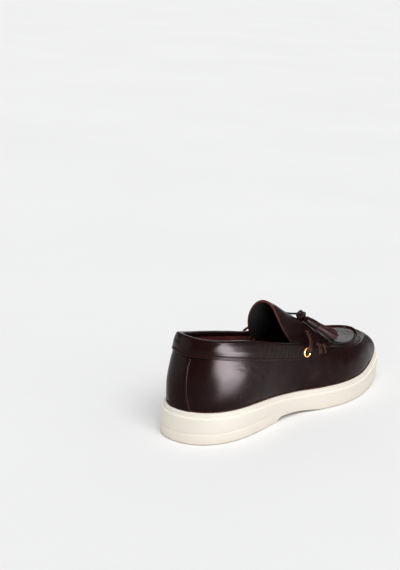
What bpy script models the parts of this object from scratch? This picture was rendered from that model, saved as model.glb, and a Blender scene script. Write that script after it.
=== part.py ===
"""Tassel loafer, right shoe, standing empty on its sole.

Metres, +Z up. The toe points along +X and the inner side of the foot is +Y.
Rings run round the shoe by an angle: 0 at the heel, pi at the toe, and the
outer side lies between them.
"""
import math
from collections import namedtuple

import bpy
import numpy as np
from mathutils import Matrix

PI = math.pi
GAP = 0.0003

# Sole
SHOE_LENGTH = 0.300
HEEL_WIDTH = 0.078
BALL_WIDTH = 0.1014
HEEL_RIM = 0.0292
BALL_RIM = 0.0209
TOE_RIM = 0.0300
HEEL_SEAT = 0.0200
BALL_SEAT = 0.0125
TOE_SEAT = 0.0175
ARCH_RISE = 0.0036
TOE_SPRING = 0.0078
TREAD_ROUND = 0.0012
RIM_STRIP = 0.0048
RIM_STEP = 0.0015
RIM_WALL = 0.0022
GROOVE_HEIGHT = 0.0100
GROOVE_DEPTH = 0.0007

# Upper
WALL = 0.0022
COLLAR_HEIGHT = 0.0905
THROAT_HEIGHT = 0.0575
TOE_SEAM_HEIGHT = 0.0448
COLLAR_LEAN = 0.0155
TOE_SETBACK = 0.013
THROAT_WIDTH = 0.072
INSTEP_RISE = 0.0190
SIDE_BULGE = 0.0030
SEAM_WIDTH = 0.0032
SEAM_HEIGHT = 0.0020
ARCH_POWER = 1.7

# Insole, tongue, band and heel strip
INSOLE_THICKNESS = 0.0040
TONGUE_WALL = 0.0020
TONGUE_LENGTH = 0.055
TONGUE_RISE = 0.0302
TONGUE_TUCK = 0.006
TONGUE_POWER = 2.3
BAND_GAP = 0.0004
BAND_THICKNESS = 0.0012
BAND_DEPTH = 0.0180
BAND_INSIDE = 0.011
BAND_ROLL = 0.0021
STRIP_WIDTH = 0.0140
STRIP_THICKNESS = 0.0009

# Eyelets, lace, knot and tassels
EYELET_DROP = 0.0063
EYELET_RADIUS = 0.0048
EYELET_HOLE = 0.0022
EYELET_BARREL = 0.0033
EYELET_WASHER = 0.0041
EYELET_RIM = 0.0010
LACE_RADIUS = 0.00145
KNOT_LENGTH = 0.0095
KNOT_RADIUS = 0.0040
TASSEL_HEAD = 0.0165
TASSEL_RADIUS = 0.0042
FRINGE_LENGTH = 0.0230
FRINGE_WIDTH = 0.0075
FRINGE_HEIGHT = 0.0050
FRINGE_THICKNESS = 0.0013
FRINGE_STRIPS = 8

# Places along the rings, as shares of their run from heel to toe
BREAST = 0.350
BREAST_RUN = 0.027
THROAT = 0.598
BAND_END = 0.554
EYELET_ALONG = 0.476
LACE_OVER = 0.492

HALF_STATIONS = 32
WALL_STEPS = 7
ARCH_COLUMNS = 7

Table = namedtuple("Table", "columns rows")

# Half widths of the sole, as shares of the width there
OUTLINE = Table(("along", "outer", "inner"), (
    (0.020, 0.250, 0.246),
    (0.080, 0.430, 0.416),
    (0.160, 0.502, 0.498),
    (0.260, 0.494, 0.492),
    (0.360, 0.458, 0.462),
    (0.460, 0.436, 0.432),
    (0.560, 0.473, 0.450),
    (0.660, 0.496, 0.502),
    (0.760, 0.477, 0.518),
    (0.850, 0.405, 0.464),
    (0.920, 0.321, 0.365),
    (0.970, 0.240, 0.242),
    (0.995, 0.105, 0.100)))
OUTLINE_TIP = 0.030

# How much of the heel's, the ball's and the toe's height each place has
HEIGHTS = Table(("along", "heel", "ball", "toe"), (
    (0.00, 1.00, 0.00, 0.00),
    (0.25, 0.92, 0.00, 0.00),
    (0.50, 0.30, 0.60, 0.00),
    (0.75, 0.00, 1.00, 0.00),
    (0.88, 0.00, 0.62, 0.36),
    (1.00, 0.00, 0.00, 1.00)))

# The tread: shares of the arch's rise and of the toe spring
TREAD = Table(("along", "arch", "spring"), (
    (BREAST, 0.00, 0.00),
    (BREAST + BREAST_RUN, 1.00, 0.00),
    (0.430, 0.88, 0.00),
    (0.500, 0.50, 0.00),
    (0.570, 0.00, 0.00),
    (0.760, 0.00, 0.00),
    (0.840, 0.00, 0.12),
    (0.920, 0.00, 0.42),
    (1.000, 0.00, 1.00)))

# The topline and the apron seam: half widths as shares of the throat's
# width, and levels: 1 near the collar's top, 0 at the throat, -1 at the toe
TOP = Table(("along", "outer", "inner", "outer_level", "inner_level"), (
    (0.00, 0.000, 0.000, 1.030, 1.030),
    (0.01, 0.167, 0.167, 1.030, 1.010),
    (0.03, 0.285, 0.285, 1.020, 0.970),
    (0.06, 0.368, 0.361, 1.000, 0.885),
    (0.12, 0.424, 0.410, 0.945, 0.760),
    (0.20, 0.451, 0.431, 0.805, 0.630),
    (0.34, 0.458, 0.444, 0.514, 0.390),
    (0.45, 0.472, 0.458, 0.297, 0.190),
    (0.53, 0.493, 0.479, 0.138, 0.085),
    (0.61, 0.507, 0.479, 0.000, 0.010),
    (0.68, 0.486, 0.458, -0.320, -0.240),
    (0.76, 0.465, 0.431, -0.560, -0.480),
    (0.82, 0.417, 0.396, -0.700, -0.640),
    (0.88, 0.326, 0.347, -0.860, -0.760),
    (0.93, 0.217, 0.312, -0.940, -0.880),
    (0.97, 0.090, 0.257, -0.990, -0.960),
    (0.99, -0.005, 0.201, -1.000, -0.990),
    (1.00, -0.100, 0.111, -1.000, -1.000)))

# The side of the upper: how round it is and its share of the bulge
SIDE = Table(("along", "roundness", "bulge"), (
    (0.00, 0.20, 1.00),
    (0.15, 0.20, 0.90),
    (0.35, 0.15, 0.55),
    (0.48, 0.20, 0.45),
    (0.58, 0.50, 0.45),
    (0.68, 0.75, 0.45),
    (0.82, 0.90, 0.40),
    (1.00, 1.00, 0.35)))

# The apron's crown, as shares of the instep's rise
CROWN = Table(("along", "crown"), (
    (0.500, 1.30),
    (0.605, 1.00),
    (0.665, 0.66),
    (0.720, 0.34),
    (0.770, 0.13),
    (0.830, 0.07),
    (0.900, 0.06),
    (1.000, 0.00)))

# The tongue, from the throat back: tuck of its edges and rise of its crest
TONGUE = Table(("back", "tuck", "crest"), (
    (0.00, -0.40, 0.00),
    (0.20, 0.70, 0.17),
    (0.50, 1.00, 0.46),
    (0.80, 0.60, 0.78),
    (1.05, 0.10, 1.00)))

# The band's depth below the topline, as shares of its depth at the heel
BAND = Table(("along", "depth"), (
    (0.000, 0.98),
    (0.013, 0.92),
    (0.052, 0.93),
    (0.120, 1.00),
    (0.220, 0.98),
    (0.334, 0.91),
    (0.447, 0.84),
    (0.520, 0.80),
    (0.554, 0.62)))

# The heel strip's width from the rim up, as shares of its width
STRIP = Table(("up", "width"), (
    (0.00, 2.05),
    (0.15, 1.62),
    (0.35, 1.25),
    (0.60, 1.00),
    (0.80, 0.92),
    (1.00, 0.98)))

# The raised seam fades out towards the throat
SEAM_FADE = Table(("along", "height"), (
    (0.595, 0.00),
    (0.620, 1.00),
    (1.000, 1.00)))

# The raised seam's section: shares of its width and of its height
SEAM_RISE = Table(("across", "height"), (
    (0.18, 0.85),
    (0.50, 1.00),
    (0.82, 0.85),
    (1.00, 0.00)))

# The band's rows up its outer face, and the turns of its roll in degrees
BAND_ROWS = (0.0, 0.06, 0.35, 0.70, 1.0)
BAND_TURNS = (40, 65, 90, 115, 140)

# A tassel's head and the knot: radius as shares of their full radius
HEAD = Table(("along", "radius"), (
    (0.00, 0.45),
    (0.06, 0.78),
    (0.30, 0.88),
    (0.80, 1.00),
    (1.00, 0.98)))
KNOT = Table(("along", "radius"), (
    (0.00, 0.50),
    (0.12, 0.86),
    (0.28, 1.00),
    (0.48, 0.86),
    (0.70, 1.00),
    (0.88, 0.84),
    (1.00, 0.50)))

# Where the knot and the tassels lie: from the throat and aside, as shares of
# the throat's width, and their heading to the inner side
LAID = Table(("piece", "start", "aside", "heading"), (
    ("knot", -0.115, -0.050, 0.00),
    ("tassel_outer", -0.140, -0.178, -0.40),
    ("tassel_inner", 0.110, 0.060, 0.28)))

COLOURS = {
    "leather": ((0.028, 0.010, 0.009, 1.0), 0.35, 0.0),
    "edge": ((0.085, 0.028, 0.018, 1.0), 0.55, 0.0),
    "lining": ((0.060, 0.012, 0.012, 1.0), 0.70, 0.0),
    "rubber": ((0.800, 0.745, 0.640, 1.0), 0.75, 0.0),
    "brass": ((0.720, 0.480, 0.200, 1.0), 0.28, 1.0),
}


def column(table, name, along):
    """Read a table's column with a monotone cubic through its rows."""
    xs = np.array([row[0] for row in table.rows])
    ys = np.array([row[table.columns.index(name)] for row in table.rows])
    along = np.clip(along, xs[0], xs[-1])
    run = np.diff(xs)
    rate = np.diff(ys) / run
    both = rate[:-1] * rate[1:]
    total = np.where(both > 0, rate[:-1] + rate[1:], 1.0)
    slope = np.concatenate([rate[:1], np.where(both > 0, 2 * both / total, 0), rate[-1:]])
    at = np.clip(np.searchsorted(xs, along, side="right") - 1, 0, len(run) - 1)
    return hermite((along - xs[at]) / run[at], ys[at], ys[at + 1],
                   slope[at] * run[at], slope[at + 1] * run[at])


def hermite(t, start, end, start_slope, end_slope):
    return ((2 * t ** 3 - 3 * t ** 2 + 1) * start + (3 * t ** 2 - 2 * t ** 3) * end
            + (t ** 3 - 2 * t ** 2 + t) * start_slope + (t ** 3 - t ** 2) * end_slope)


def mix(a, b, share):
    return a + (b - a) * share


def ease(x, low, high):
    """Go smoothly from 0 at low to 1 at high."""
    t = np.clip((x - low) / (high - low), 0.0, 1.0)
    return t * t * (3 - 2 * t)


def along_of(theta):
    return (1 - np.cos(theta)) / 2


def theta_of(along):
    return np.arccos(1 - 2 * np.clip(along, 0.0, 1.0))


def closed_curve(knots, values, theta):
    """Smooth closed curve of one value by the angle round the shoe."""
    turn = 2 * PI
    xs = np.concatenate([knots[-2:] - turn, knots, knots[:2] + turn])
    ys = np.concatenate([values[-2:], values, values[:2]])
    theta = np.mod(theta, turn)
    slope = np.gradient(ys, xs)
    at = np.clip(np.searchsorted(xs, theta, side="right") - 1, 0, len(xs) - 2)
    run = xs[at + 1] - xs[at]
    return hermite((theta - xs[at]) / run, ys[at], ys[at + 1],
                   slope[at] * run, slope[at + 1] * run)


def sole_plan(theta):
    """The sole's outline before any inset: x and y."""
    rows = np.array(OUTLINE.rows)
    width = mix(HEEL_WIDTH, BALL_WIDTH, ease(rows[:, 0], 0.36, 0.66))
    angles = theta_of(rows[:, 0])
    knots = np.concatenate([[0.0], angles, [PI], 2 * PI - angles[::-1]])
    values = np.concatenate([[0.0], -rows[:, 1] * width, [OUTLINE_TIP * BALL_WIDTH],
                             (rows[:, 2] * width)[::-1]])
    x = SHOE_LENGTH * (along_of(theta) - 0.5)
    return np.stack([x, closed_curve(knots, values, theta)], -1)


def outline(theta, inset):
    """The sole's outline, drawn in along its own normal."""
    step = 0.01
    run = sole_plan(theta + step) - sole_plan(theta - step)
    run /= np.linalg.norm(run, axis=-1, keepdims=True)
    outward = np.stack([run[..., 1], -run[..., 0]], -1)
    return sole_plan(theta) - np.asarray(inset)[..., None] * outward


def blended_height(along, heel, ball, toe):
    return (column(HEIGHTS, "heel", along) * heel + column(HEIGHTS, "ball", along) * ball
            + column(HEIGHTS, "toe", along) * toe)


def rim_height(along):
    return blended_height(along, HEEL_RIM, BALL_RIM, TOE_RIM)


def seat_height(along):
    return blended_height(along, HEEL_SEAT, BALL_SEAT, TOE_SEAT)


def tread_height(along):
    return (column(TREAD, "arch", along) * ARCH_RISE
            + column(TREAD, "spring", along) * TOE_SPRING)


def top_x(along):
    start = COLLAR_LEAN - SHOE_LENGTH / 2
    return start + (SHOE_LENGTH - COLLAR_LEAN - TOE_SETBACK) * along


def top_along(x):
    run = SHOE_LENGTH - COLLAR_LEAN - TOE_SETBACK
    return (x + SHOE_LENGTH / 2 - COLLAR_LEAN) / run


def level_height(level):
    collar = THROAT_HEIGHT + level * (COLLAR_HEIGHT - THROAT_HEIGHT)
    toe = THROAT_HEIGHT + level * (THROAT_HEIGHT - TOE_SEAM_HEIGHT)
    return np.where(level > 0, collar, toe)


def top_ring(theta):
    """The topline and, in front of the throat, the apron seam: x, y, z."""
    along = along_of(theta)
    rows = np.array(TOP.rows)
    angles = theta_of(rows[:, 0])
    knots = np.concatenate([angles, 2 * PI - angles[-2:0:-1]])
    values = np.concatenate([-rows[:, 1], rows[-2:0:-1, 2]]) * THROAT_WIDTH
    outer = np.mod(theta, 2 * PI) <= PI
    level = np.where(outer, column(TOP, "outer_level", along),
                     column(TOP, "inner_level", along))
    return np.stack([top_x(along), closed_curve(knots, values, theta),
                     level_height(level)], -1)


UPPER_INSET = RIM_STEP + RIM_WALL + GAP
BAND_SURFACE = BAND_GAP + BAND_THICKNESS
EYELET_FACE = BAND_SURFACE + 1.8 * GAP


def wall_point(theta, u):
    """The upper's outer skin between the sole's rim (0) and the top ring (1)."""
    theta, u = np.broadcast_arrays(theta, u)
    along = along_of(theta)
    foot = outline(theta, UPPER_INSET)
    head = top_ring(theta)
    roundness = column(SIDE, "roundness", along)
    inward = mix(u, 1 - np.cos(u * PI / 2), roundness)
    upward = mix(u, np.sin(u * PI / 2), roundness)
    plan = mix(foot, head[..., :2], inward[..., None])
    outward = foot - outline(theta, UPPER_INSET + 0.001)
    outward /= np.linalg.norm(outward, axis=-1, keepdims=True)
    bulge = SIDE_BULGE * column(SIDE, "bulge", along) * np.sin(PI * np.clip(u, 0, 1) ** 0.75)
    plan = plan + bulge[..., None] * outward
    height = mix(rim_height(along), head[..., 2], upward)
    return np.concatenate([plan, height[..., None]], -1)


def wall_frame(theta, u):
    """Unit vectors of the outer skin: outward normal and up along the wall."""
    step = 0.004
    low = np.clip(u - step, 0.0, 1.0)
    high = np.clip(u + step, 0.0, 1.0)
    up = wall_point(theta, high) - wall_point(theta, low)
    run = wall_point(theta + step, u) - wall_point(theta - step, u)
    up /= np.linalg.norm(up, axis=-1, keepdims=True)
    normal = np.cross(run, up)
    return normal / np.linalg.norm(normal, axis=-1, keepdims=True), up


def wall_offset(theta, u, offset, rise=0.0):
    normal, up = wall_frame(theta, u)
    return (wall_point(theta, u) + np.asarray(offset)[..., None] * normal
            + np.asarray(rise)[..., None] * up)


def wall_share(theta, depth):
    """The wall's coordinate at a depth below the top ring."""
    span = np.linalg.norm(wall_point(theta, 1.0) - wall_point(theta, 0.0), axis=-1)
    return 1 - depth / span


def arch_height(x, y):
    """Height of the apron over the plan, from seam to seam."""
    along = top_along(x)
    theta = theta_of(along)
    outer = top_ring(theta)
    inner = top_ring(2 * PI - theta)
    width = np.maximum(inner[..., 1] - outer[..., 1], 1e-4)
    across = np.clip((y - outer[..., 1]) / width, 0.0, 1.0)
    crown = INSTEP_RISE * column(CROWN, "crown", along)
    return (mix(outer[..., 2], inner[..., 2], across)
            + crown * (1 - np.abs(2 * across - 1) ** ARCH_POWER))


def arch_normal(x, y):
    step = 0.0005
    dx = (arch_height(x + step, y) - arch_height(x - step, y)) / (2 * step)
    dy = (arch_height(x, y + step) - arch_height(x, y - step)) / (2 * step)
    normal = np.stack([-dx, -dy, np.ones_like(dx)], -1)
    return normal / np.linalg.norm(normal, axis=-1, keepdims=True)


def strip_theta(u, across):
    """The angle of a point of the heel strip, across from -1 to 1."""
    theta = np.linspace(0.0, 0.8, 120)
    points = wall_point(theta, 0.4)[:, :2]
    arc = np.concatenate([[0.0], np.cumsum(np.linalg.norm(np.diff(points, axis=0), axis=1))])
    half = STRIP_WIDTH / 2 * column(STRIP, "width", u)
    return across * np.interp(half, arc, theta)


def half_stations():
    """Angles from heel to toe that every ring shares."""
    special = [float(theta_of(a)) for a in (BREAST, BREAST + BREAST_RUN, THROAT, BAND_END)]
    plain = [t for t in np.linspace(0.0, PI, HALF_STATIONS + 1)
             if min(abs(t - s) for s in special) > 0.03]
    return np.array(sorted(plain + special))


def station_index(half, theta):
    return int(np.argmin(np.abs(half - theta)))


def make_object(name, points, faces, material, smooth_angle=40.0):
    mesh = bpy.data.meshes.new(name)
    mesh.from_pydata([tuple(map(float, p)) for p in points], [], faces)
    mesh.validate()
    mesh.materials.append(MATERIALS[material])
    mesh.shade_smooth()
    mesh.set_sharp_from_angle(angle=math.radians(smooth_angle))
    return link_object(bpy.data.objects.new(name, mesh))


def link_object(obj):
    PARTS.objects.link(obj)
    obj.parent = FRAME
    return obj


def ring_faces(rings, count):
    """Quads between closed rings that follow one another."""
    return [(r * count + i, r * count + (i + 1) % count,
             (r + 1) * count + (i + 1) % count, (r + 1) * count + i)
            for r in range(rings - 1) for i in range(count)]


def ladder_faces(first, count):
    """Close a ring with rungs from side to side, facing up."""
    half = count // 2
    faces = [(first, first + 1, first + count - 1)]
    faces += [(first + i, first + i + 1, first + count - i - 1, first + count - i)
              for i in range(1, half - 1)]
    return faces + [(first + half - 1, first + half, first + half + 1)]


def grid_faces(rows, columns):
    return [(r * columns + c, (r + 1) * columns + c,
             (r + 1) * columns + c + 1, r * columns + c + 1)
            for r in range(rows - 1) for c in range(columns - 1)]


def shell(outer, inner, faces):
    """Close two matching skins into one body along their open edges."""
    count = len(outer)
    edges = {(f[i], f[(i + 1) % len(f)]) for f in faces for i in range(len(f))}
    sides = [(b, a, a + count, b + count) for a, b in sorted(edges) if (b, a) not in edges]
    back = [tuple(i + count for i in reversed(f)) for f in faces]
    return np.concatenate([outer, inner]), faces + back + sides


def ring_solid(name, rings, material, smooth_angle=40.0):
    """A body from closed rings, from the middle of its base to its top."""
    count = rings[0].shape[0]
    base = [tuple(reversed(f)) for f in ladder_faces(0, count)]
    top = ladder_faces((len(rings) - 1) * count, count)
    faces = base + ring_faces(len(rings), count) + top
    return make_object(name, np.concatenate(rings), faces, material, smooth_angle)


def flat_ring(theta, inset, height):
    plan = outline(theta, np.broadcast_to(inset, theta.shape))
    return np.concatenate([plan, np.broadcast_to(height, theta.shape)[:, None]], -1)


def build_sole(theta):
    along = along_of(theta)
    tread = tread_height(along)
    rim = rim_height(along)
    strip = rim - RIM_STRIP
    groove = GROOVE_DEPTH * (1 - ease(along, 0.22, 0.40))
    wall = RIM_STEP + RIM_WALL
    rings = [
        flat_ring(theta, TREAD_ROUND, tread),
        flat_ring(theta, TREAD_ROUND * 0.3, tread + TREAD_ROUND * 0.3),
        flat_ring(theta, 0.0, tread + TREAD_ROUND),
        flat_ring(theta, 0.0, GROOVE_HEIGHT - GROOVE_DEPTH),
        flat_ring(theta, groove, GROOVE_HEIGHT),
        flat_ring(theta, 0.0, GROOVE_HEIGHT + GROOVE_DEPTH),
        flat_ring(theta, 0.0, strip - RIM_STEP * 0.3),
        flat_ring(theta, RIM_STEP * 0.3, strip),
        flat_ring(theta, RIM_STEP, strip),
        flat_ring(theta, RIM_STEP, rim - RIM_WALL * 0.3),
        flat_ring(theta, RIM_STEP + RIM_WALL * 0.3, rim),
        flat_ring(theta, wall, rim),
        flat_ring(theta, wall, seat_height(along)),
    ]
    return ring_solid("sole", rings, "rubber", 30.0)


def build_insole(theta):
    along = along_of(theta)
    inset = UPPER_INSET + WALL + GAP
    base = seat_height(along) + GAP
    edge = INSOLE_THICKNESS * 0.25
    rings = [
        flat_ring(theta, inset, base),
        flat_ring(theta, inset, base + INSOLE_THICKNESS - edge),
        flat_ring(theta, inset + edge, base + INSOLE_THICKNESS),
    ]
    return ring_solid("insole", rings, "lining", 30.0)


def seam_rings(theta):
    """Rings over the raised apron seam: plan points and share of its height."""
    step = 0.004
    run = top_ring(theta + step)[:, :2] - top_ring(theta - step)[:, :2]
    run /= np.linalg.norm(run, axis=1, keepdims=True)
    inward = np.stack([-run[:, 1], run[:, 0]], -1)
    base = top_ring(theta)[:, :2]
    return [(base + SEAM_WIDTH * share * inward, height)
            for share, height in SEAM_RISE.rows]


def build_upper(half):
    """Hollow upper: wall rings, then the seam and the apron over the toes."""
    theta = np.concatenate([half, 2 * PI - half[-2:0:-1]])
    count = len(theta)
    toe = len(half) - 1
    throat = station_index(half, float(theta_of(THROAT)))
    along = along_of(theta)
    foot_z = seat_height(along) + GAP
    normal, _ = wall_frame(theta, 0.0)
    flat_normal = normal * (1, 1, 0)
    flat_normal /= np.linalg.norm(flat_normal, axis=1, keepdims=True)
    rim_ring = wall_point(theta, 0.0)
    outer, inner = [], []
    for height in (foot_z, mix(foot_z, rim_ring[:, 2], 0.7)):
        ring = np.column_stack([rim_ring[:, :2], height])
        outer.append(ring)
        inner.append(ring - WALL * flat_normal)
    for u in np.linspace(0.0, 1.0, WALL_STEPS + 1):
        outer.append(wall_point(theta, u))
        inner.append(wall_offset(theta, u, -WALL))
    front = np.arange(throat, count - throat + 1)
    top = outer[-1][front]
    wall_n = wall_frame(theta[front], 1.0)[0]
    corner = wall_n + arch_normal(top[:, 0], top[:, 1])
    corner /= np.linalg.norm(corner, axis=1, keepdims=True)
    reach = WALL / np.maximum((corner * wall_n).sum(1, keepdims=True), 0.6)
    inner[-1] = inner[-1].copy()
    inner[-1][front] = top - reach * corner
    faces = ring_faces(len(outer), count)

    points = [np.concatenate(outer)]
    backs = [np.concatenate(inner)]
    previous = (len(outer) - 1) * count + front
    fade = column(SEAM_FADE, "height", along[front])
    start = len(points[0])
    lip = [previous[0], previous[-1]]
    for plan, share in seam_rings(theta[front]):
        height = arch_height(plan[:, 0], plan[:, 1])
        raised = height + SEAM_HEIGHT * share * fade
        points.append(np.column_stack([plan, raised]))
        backs.append(np.column_stack([plan, height]) - WALL * arch_normal(plan[:, 0], plan[:, 1]))
        ring = start + np.arange(len(front))
        faces += [(previous[i], previous[i + 1], ring[i + 1], ring[i])
                  for i in range(len(front) - 1)]
        previous = ring
        lip += [ring[0], ring[-1]]
        start += len(front)
    seam_plan = points[-1][:, :2]
    rows = toe - throat
    last = len(front) - 1
    even = np.linspace(0.0, 1.0, ARCH_COLUMNS + 2)
    shares = mix(even, (1 - np.cos(even * PI)) / 2, 0.4)
    row_ids = []
    for r in range(rows):
        plan = mix(seam_plan[r], seam_plan[last - r], shares[1:-1, None])
        height = arch_height(plan[:, 0], plan[:, 1])
        points.append(np.column_stack([plan, height]))
        backs.append(np.column_stack([plan, height]) - WALL * arch_normal(plan[:, 0], plan[:, 1]))
        row_ids.append([previous[r], *range(start, start + len(plan)), previous[last - r]])
        start += len(plan)
    for near, far in zip(row_ids[:-1], row_ids[1:]):
        faces += [(near[c], far[c], far[c + 1], near[c + 1]) for c in range(len(near) - 1)]
    tip = previous[rows]
    faces += [(row_ids[-1][c], tip, row_ids[-1][c + 1]) for c in range(len(row_ids[-1]) - 1)]
    faces = [tuple(int(i) for i in f) for f in faces]
    lip = np.array(lip + row_ids[0])
    skin = np.concatenate(points)
    back = np.concatenate(backs)
    back[lip, 0] = skin[lip, 0]
    return make_object("upper", *shell(skin, back, faces), "leather", 50.0)


def tongue_at(shift, across):
    """The tongue's outer skin: back from the throat, across from -1 to 1."""
    throat = float(top_x(THROAT)) - GAP
    x = throat - TONGUE_LENGTH * shift
    theta = theta_of(top_along(x))
    lined = BAND_SURFACE + EYELET_RIM + 2 * GAP
    side = WALL + 2 * GAP + lined * ease(shift, 0.05, 0.22)
    outer = top_ring(theta)
    inner = top_ring(2 * PI - theta)
    aside = (across + 1) / 2
    y = mix(outer[..., 1] + side, inner[..., 1] - side, aside)
    crest = arch_height(throat, 0.0) + TONGUE_RISE * column(TONGUE, "crest", shift)
    edge = mix(outer[..., 2], inner[..., 2], aside)
    edge = edge - TONGUE_TUCK * column(TONGUE, "tuck", shift)
    z = edge + (crest - edge) * (1 - np.abs(across) ** TONGUE_POWER)
    z = mix(arch_height(x, y), z, ease(shift, 0.0, 0.12))
    return np.stack([x, y, z], -1)


def tongue_point(back, across):
    """The tongue's outer skin, with its rounded back edge at 1."""
    return tongue_at(back * (1 + 0.10 * across ** 2 - 0.46 * across ** 6), across)


def tongue_place(back, across):
    """A point of the tongue's skin and the way out of it."""
    step = 0.02
    point = tongue_point(np.array(back), np.array(across))
    along = tongue_point(np.array(back - step), np.array(across)) - point
    aside = tongue_point(np.array(back), np.array(across + step)) - point
    normal = np.cross(along, aside)
    return point, normal / np.linalg.norm(normal)


def grid_normals(points):
    along = np.gradient(points, axis=0)
    across = np.gradient(points, axis=1)
    normal = np.cross(along, across)
    return normal / np.linalg.norm(normal, axis=-1, keepdims=True)


def build_tongue():
    rows, columns = 10, 15
    back = np.linspace(1.0, 0.0, rows)[:, None]
    across = np.linspace(-1.0, 1.0, columns)[None, :]
    back, across = np.broadcast_arrays(back, across)
    skin = tongue_point(back, across)
    under = skin - TONGUE_WALL * grid_normals(skin)
    under[-1, :, 0] = skin[-1, :, 0]
    faces = grid_faces(rows, columns)
    return make_object("tongue", *shell(skin.reshape(-1, 3), under.reshape(-1, 3), faces),
                       "leather", 50.0)


def build_band(half):
    """Band folded over the topline, from one side of the throat to the other."""
    end = station_index(half, float(theta_of(BAND_END)))
    theta = np.concatenate([-half[end:0:-1], half[:end + 1]])
    low = wall_share(theta, BAND_DEPTH * column(BAND, "depth", along_of(theta)))
    inside = wall_share(theta, BAND_INSIDE * column(BAND, "depth", along_of(theta)))
    skin, under = [], []
    for share in BAND_ROWS:
        u = mix(low, 1.0, share)
        proud = BAND_SURFACE * (0.8 if share == 0.0 else 1.0)
        skin.append(wall_offset(theta, u, proud))
        under.append(wall_offset(theta, u, BAND_GAP))
    middle = -WALL / 2
    reach = WALL / 2 + BAND_SURFACE
    close = WALL / 2 + BAND_GAP
    for turn in np.radians(BAND_TURNS):
        skin.append(wall_offset(theta, 1.0, middle + reach * math.cos(turn),
                                BAND_ROLL * math.sin(turn)))
        under.append(wall_offset(theta, 1.0, middle + close * math.cos(turn), BAND_GAP))
    for share in (1.0, 0.5, 0.0):
        u = mix(inside, 1.0, share)
        skin.append(wall_offset(theta, u, middle - reach))
        under.append(wall_offset(theta, u, middle - close))
    skin = np.stack(skin, 1)
    under = np.stack(under, 1)
    faces = grid_faces(skin.shape[0], skin.shape[1])
    return make_object("collar_band", *shell(skin.reshape(-1, 3), under.reshape(-1, 3), faces),
                       "leather", 60.0)


def build_heel_strip():
    """Back stay from the sole's rim to the band, a little waisted."""
    low = GAP / (COLLAR_HEIGHT - HEEL_RIM)
    skin, under = [], []
    for across in np.linspace(-1.0, 1.0, 9):
        share = np.linspace(0.0, 1.0, 8)
        theta = strip_theta(share, across)
        high = wall_share(theta, BAND_DEPTH + 2 * GAP)
        u = mix(low, high, share)
        skin.append(wall_offset(theta, u, GAP + STRIP_THICKNESS))
        under.append(wall_offset(theta, u, GAP))
    skin = np.stack(skin)
    under = np.stack(under)
    faces = grid_faces(skin.shape[0], skin.shape[1])
    return make_object("heel_strip", *shell(skin.reshape(-1, 3), under.reshape(-1, 3), faces),
                       "leather", 50.0)


def eyelet_place(side):
    """Centre on the upper's skin, outward normal and up, for one side."""
    theta = theta_of(EYELET_ALONG)
    theta = np.array(theta if side < 0 else 2 * PI - theta)
    u = wall_share(theta, EYELET_DROP)
    normal, up = wall_frame(theta, u)
    return wall_point(theta, u), normal, up


def turned_ring(profile, segments=20):
    """Turn a closed profile of radius and height pairs round the Z axis."""
    mesh = bpy.data.meshes.new("profile")
    edges = [(i, (i + 1) % len(profile)) for i in range(len(profile))]
    mesh.from_pydata([(r, 0.0, z) for r, z in profile], edges, [])
    obj = bpy.data.objects.new("profile", mesh)
    screw = obj.modifiers.new("Turn", "SCREW")
    screw.axis = "Z"
    screw.steps = segments
    screw.render_steps = segments
    screw.use_merge_vertices = True
    screw.merge_threshold = 0.00001
    return obj


def axes_matrix(centre, normal, up):
    """Place local Z along the normal and local Y along up."""
    across = np.cross(up, normal)
    matrix = np.eye(4)
    matrix[:3, 0], matrix[:3, 1], matrix[:3, 2], matrix[:3, 3] = across, up, normal, centre
    return Matrix(matrix.tolist())


def build_eyelet(name, side):
    centre, normal, up = eyelet_place(side)
    face = EYELET_FACE
    back = -(WALL + EYELET_FACE)
    profile = [
        (EYELET_RADIUS, face + EYELET_RIM * 0.35),
        (EYELET_RADIUS * 0.96, face),
        (EYELET_BARREL, face),
        (EYELET_BARREL, back),
        (EYELET_WASHER, back),
        (EYELET_WASHER * 0.96, back - EYELET_RIM * 0.7),
        (EYELET_HOLE, back - EYELET_RIM * 0.7),
        (EYELET_HOLE, face + EYELET_RIM * 0.5),
        (EYELET_HOLE * 1.15, face + EYELET_RIM),
        (EYELET_RADIUS * 0.82, face + EYELET_RIM),
    ]
    eyelet = turned_ring(profile)
    eyelet.name = name
    eyelet.data.name = name
    eyelet.data.materials.append(MATERIALS["brass"])
    link_object(eyelet)
    eyelet.matrix_local = axes_matrix(centre, normal, up)
    return eyelet


def cut_eyelet_holes(targets):
    for side, label in ((-1, "outer"), (1, "inner")):
        centre, normal, up = eyelet_place(side)
        bpy.ops.mesh.primitive_cylinder_add(vertices=24, radius=EYELET_BARREL + GAP * 1.5,
                                            depth=(WALL + EYELET_RADIUS) * 2.4)
        cutter = bpy.context.object
        cutter.name = "cut_eyelet_" + label
        for collection in cutter.users_collection:
            collection.objects.unlink(cutter)
        CUTTERS.objects.link(cutter)
        cutter.parent = FRAME
        cutter.matrix_local = axes_matrix(centre, normal, up)
        cutter.hide_render = True
        cutter.display_type = "WIRE"
        for target in targets:
            cut = target.modifiers.new("Eyelet hole " + label, "BOOLEAN")
            cut.operation = "DIFFERENCE"
            cut.solver = "EXACT"
            cut.object = cutter


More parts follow.
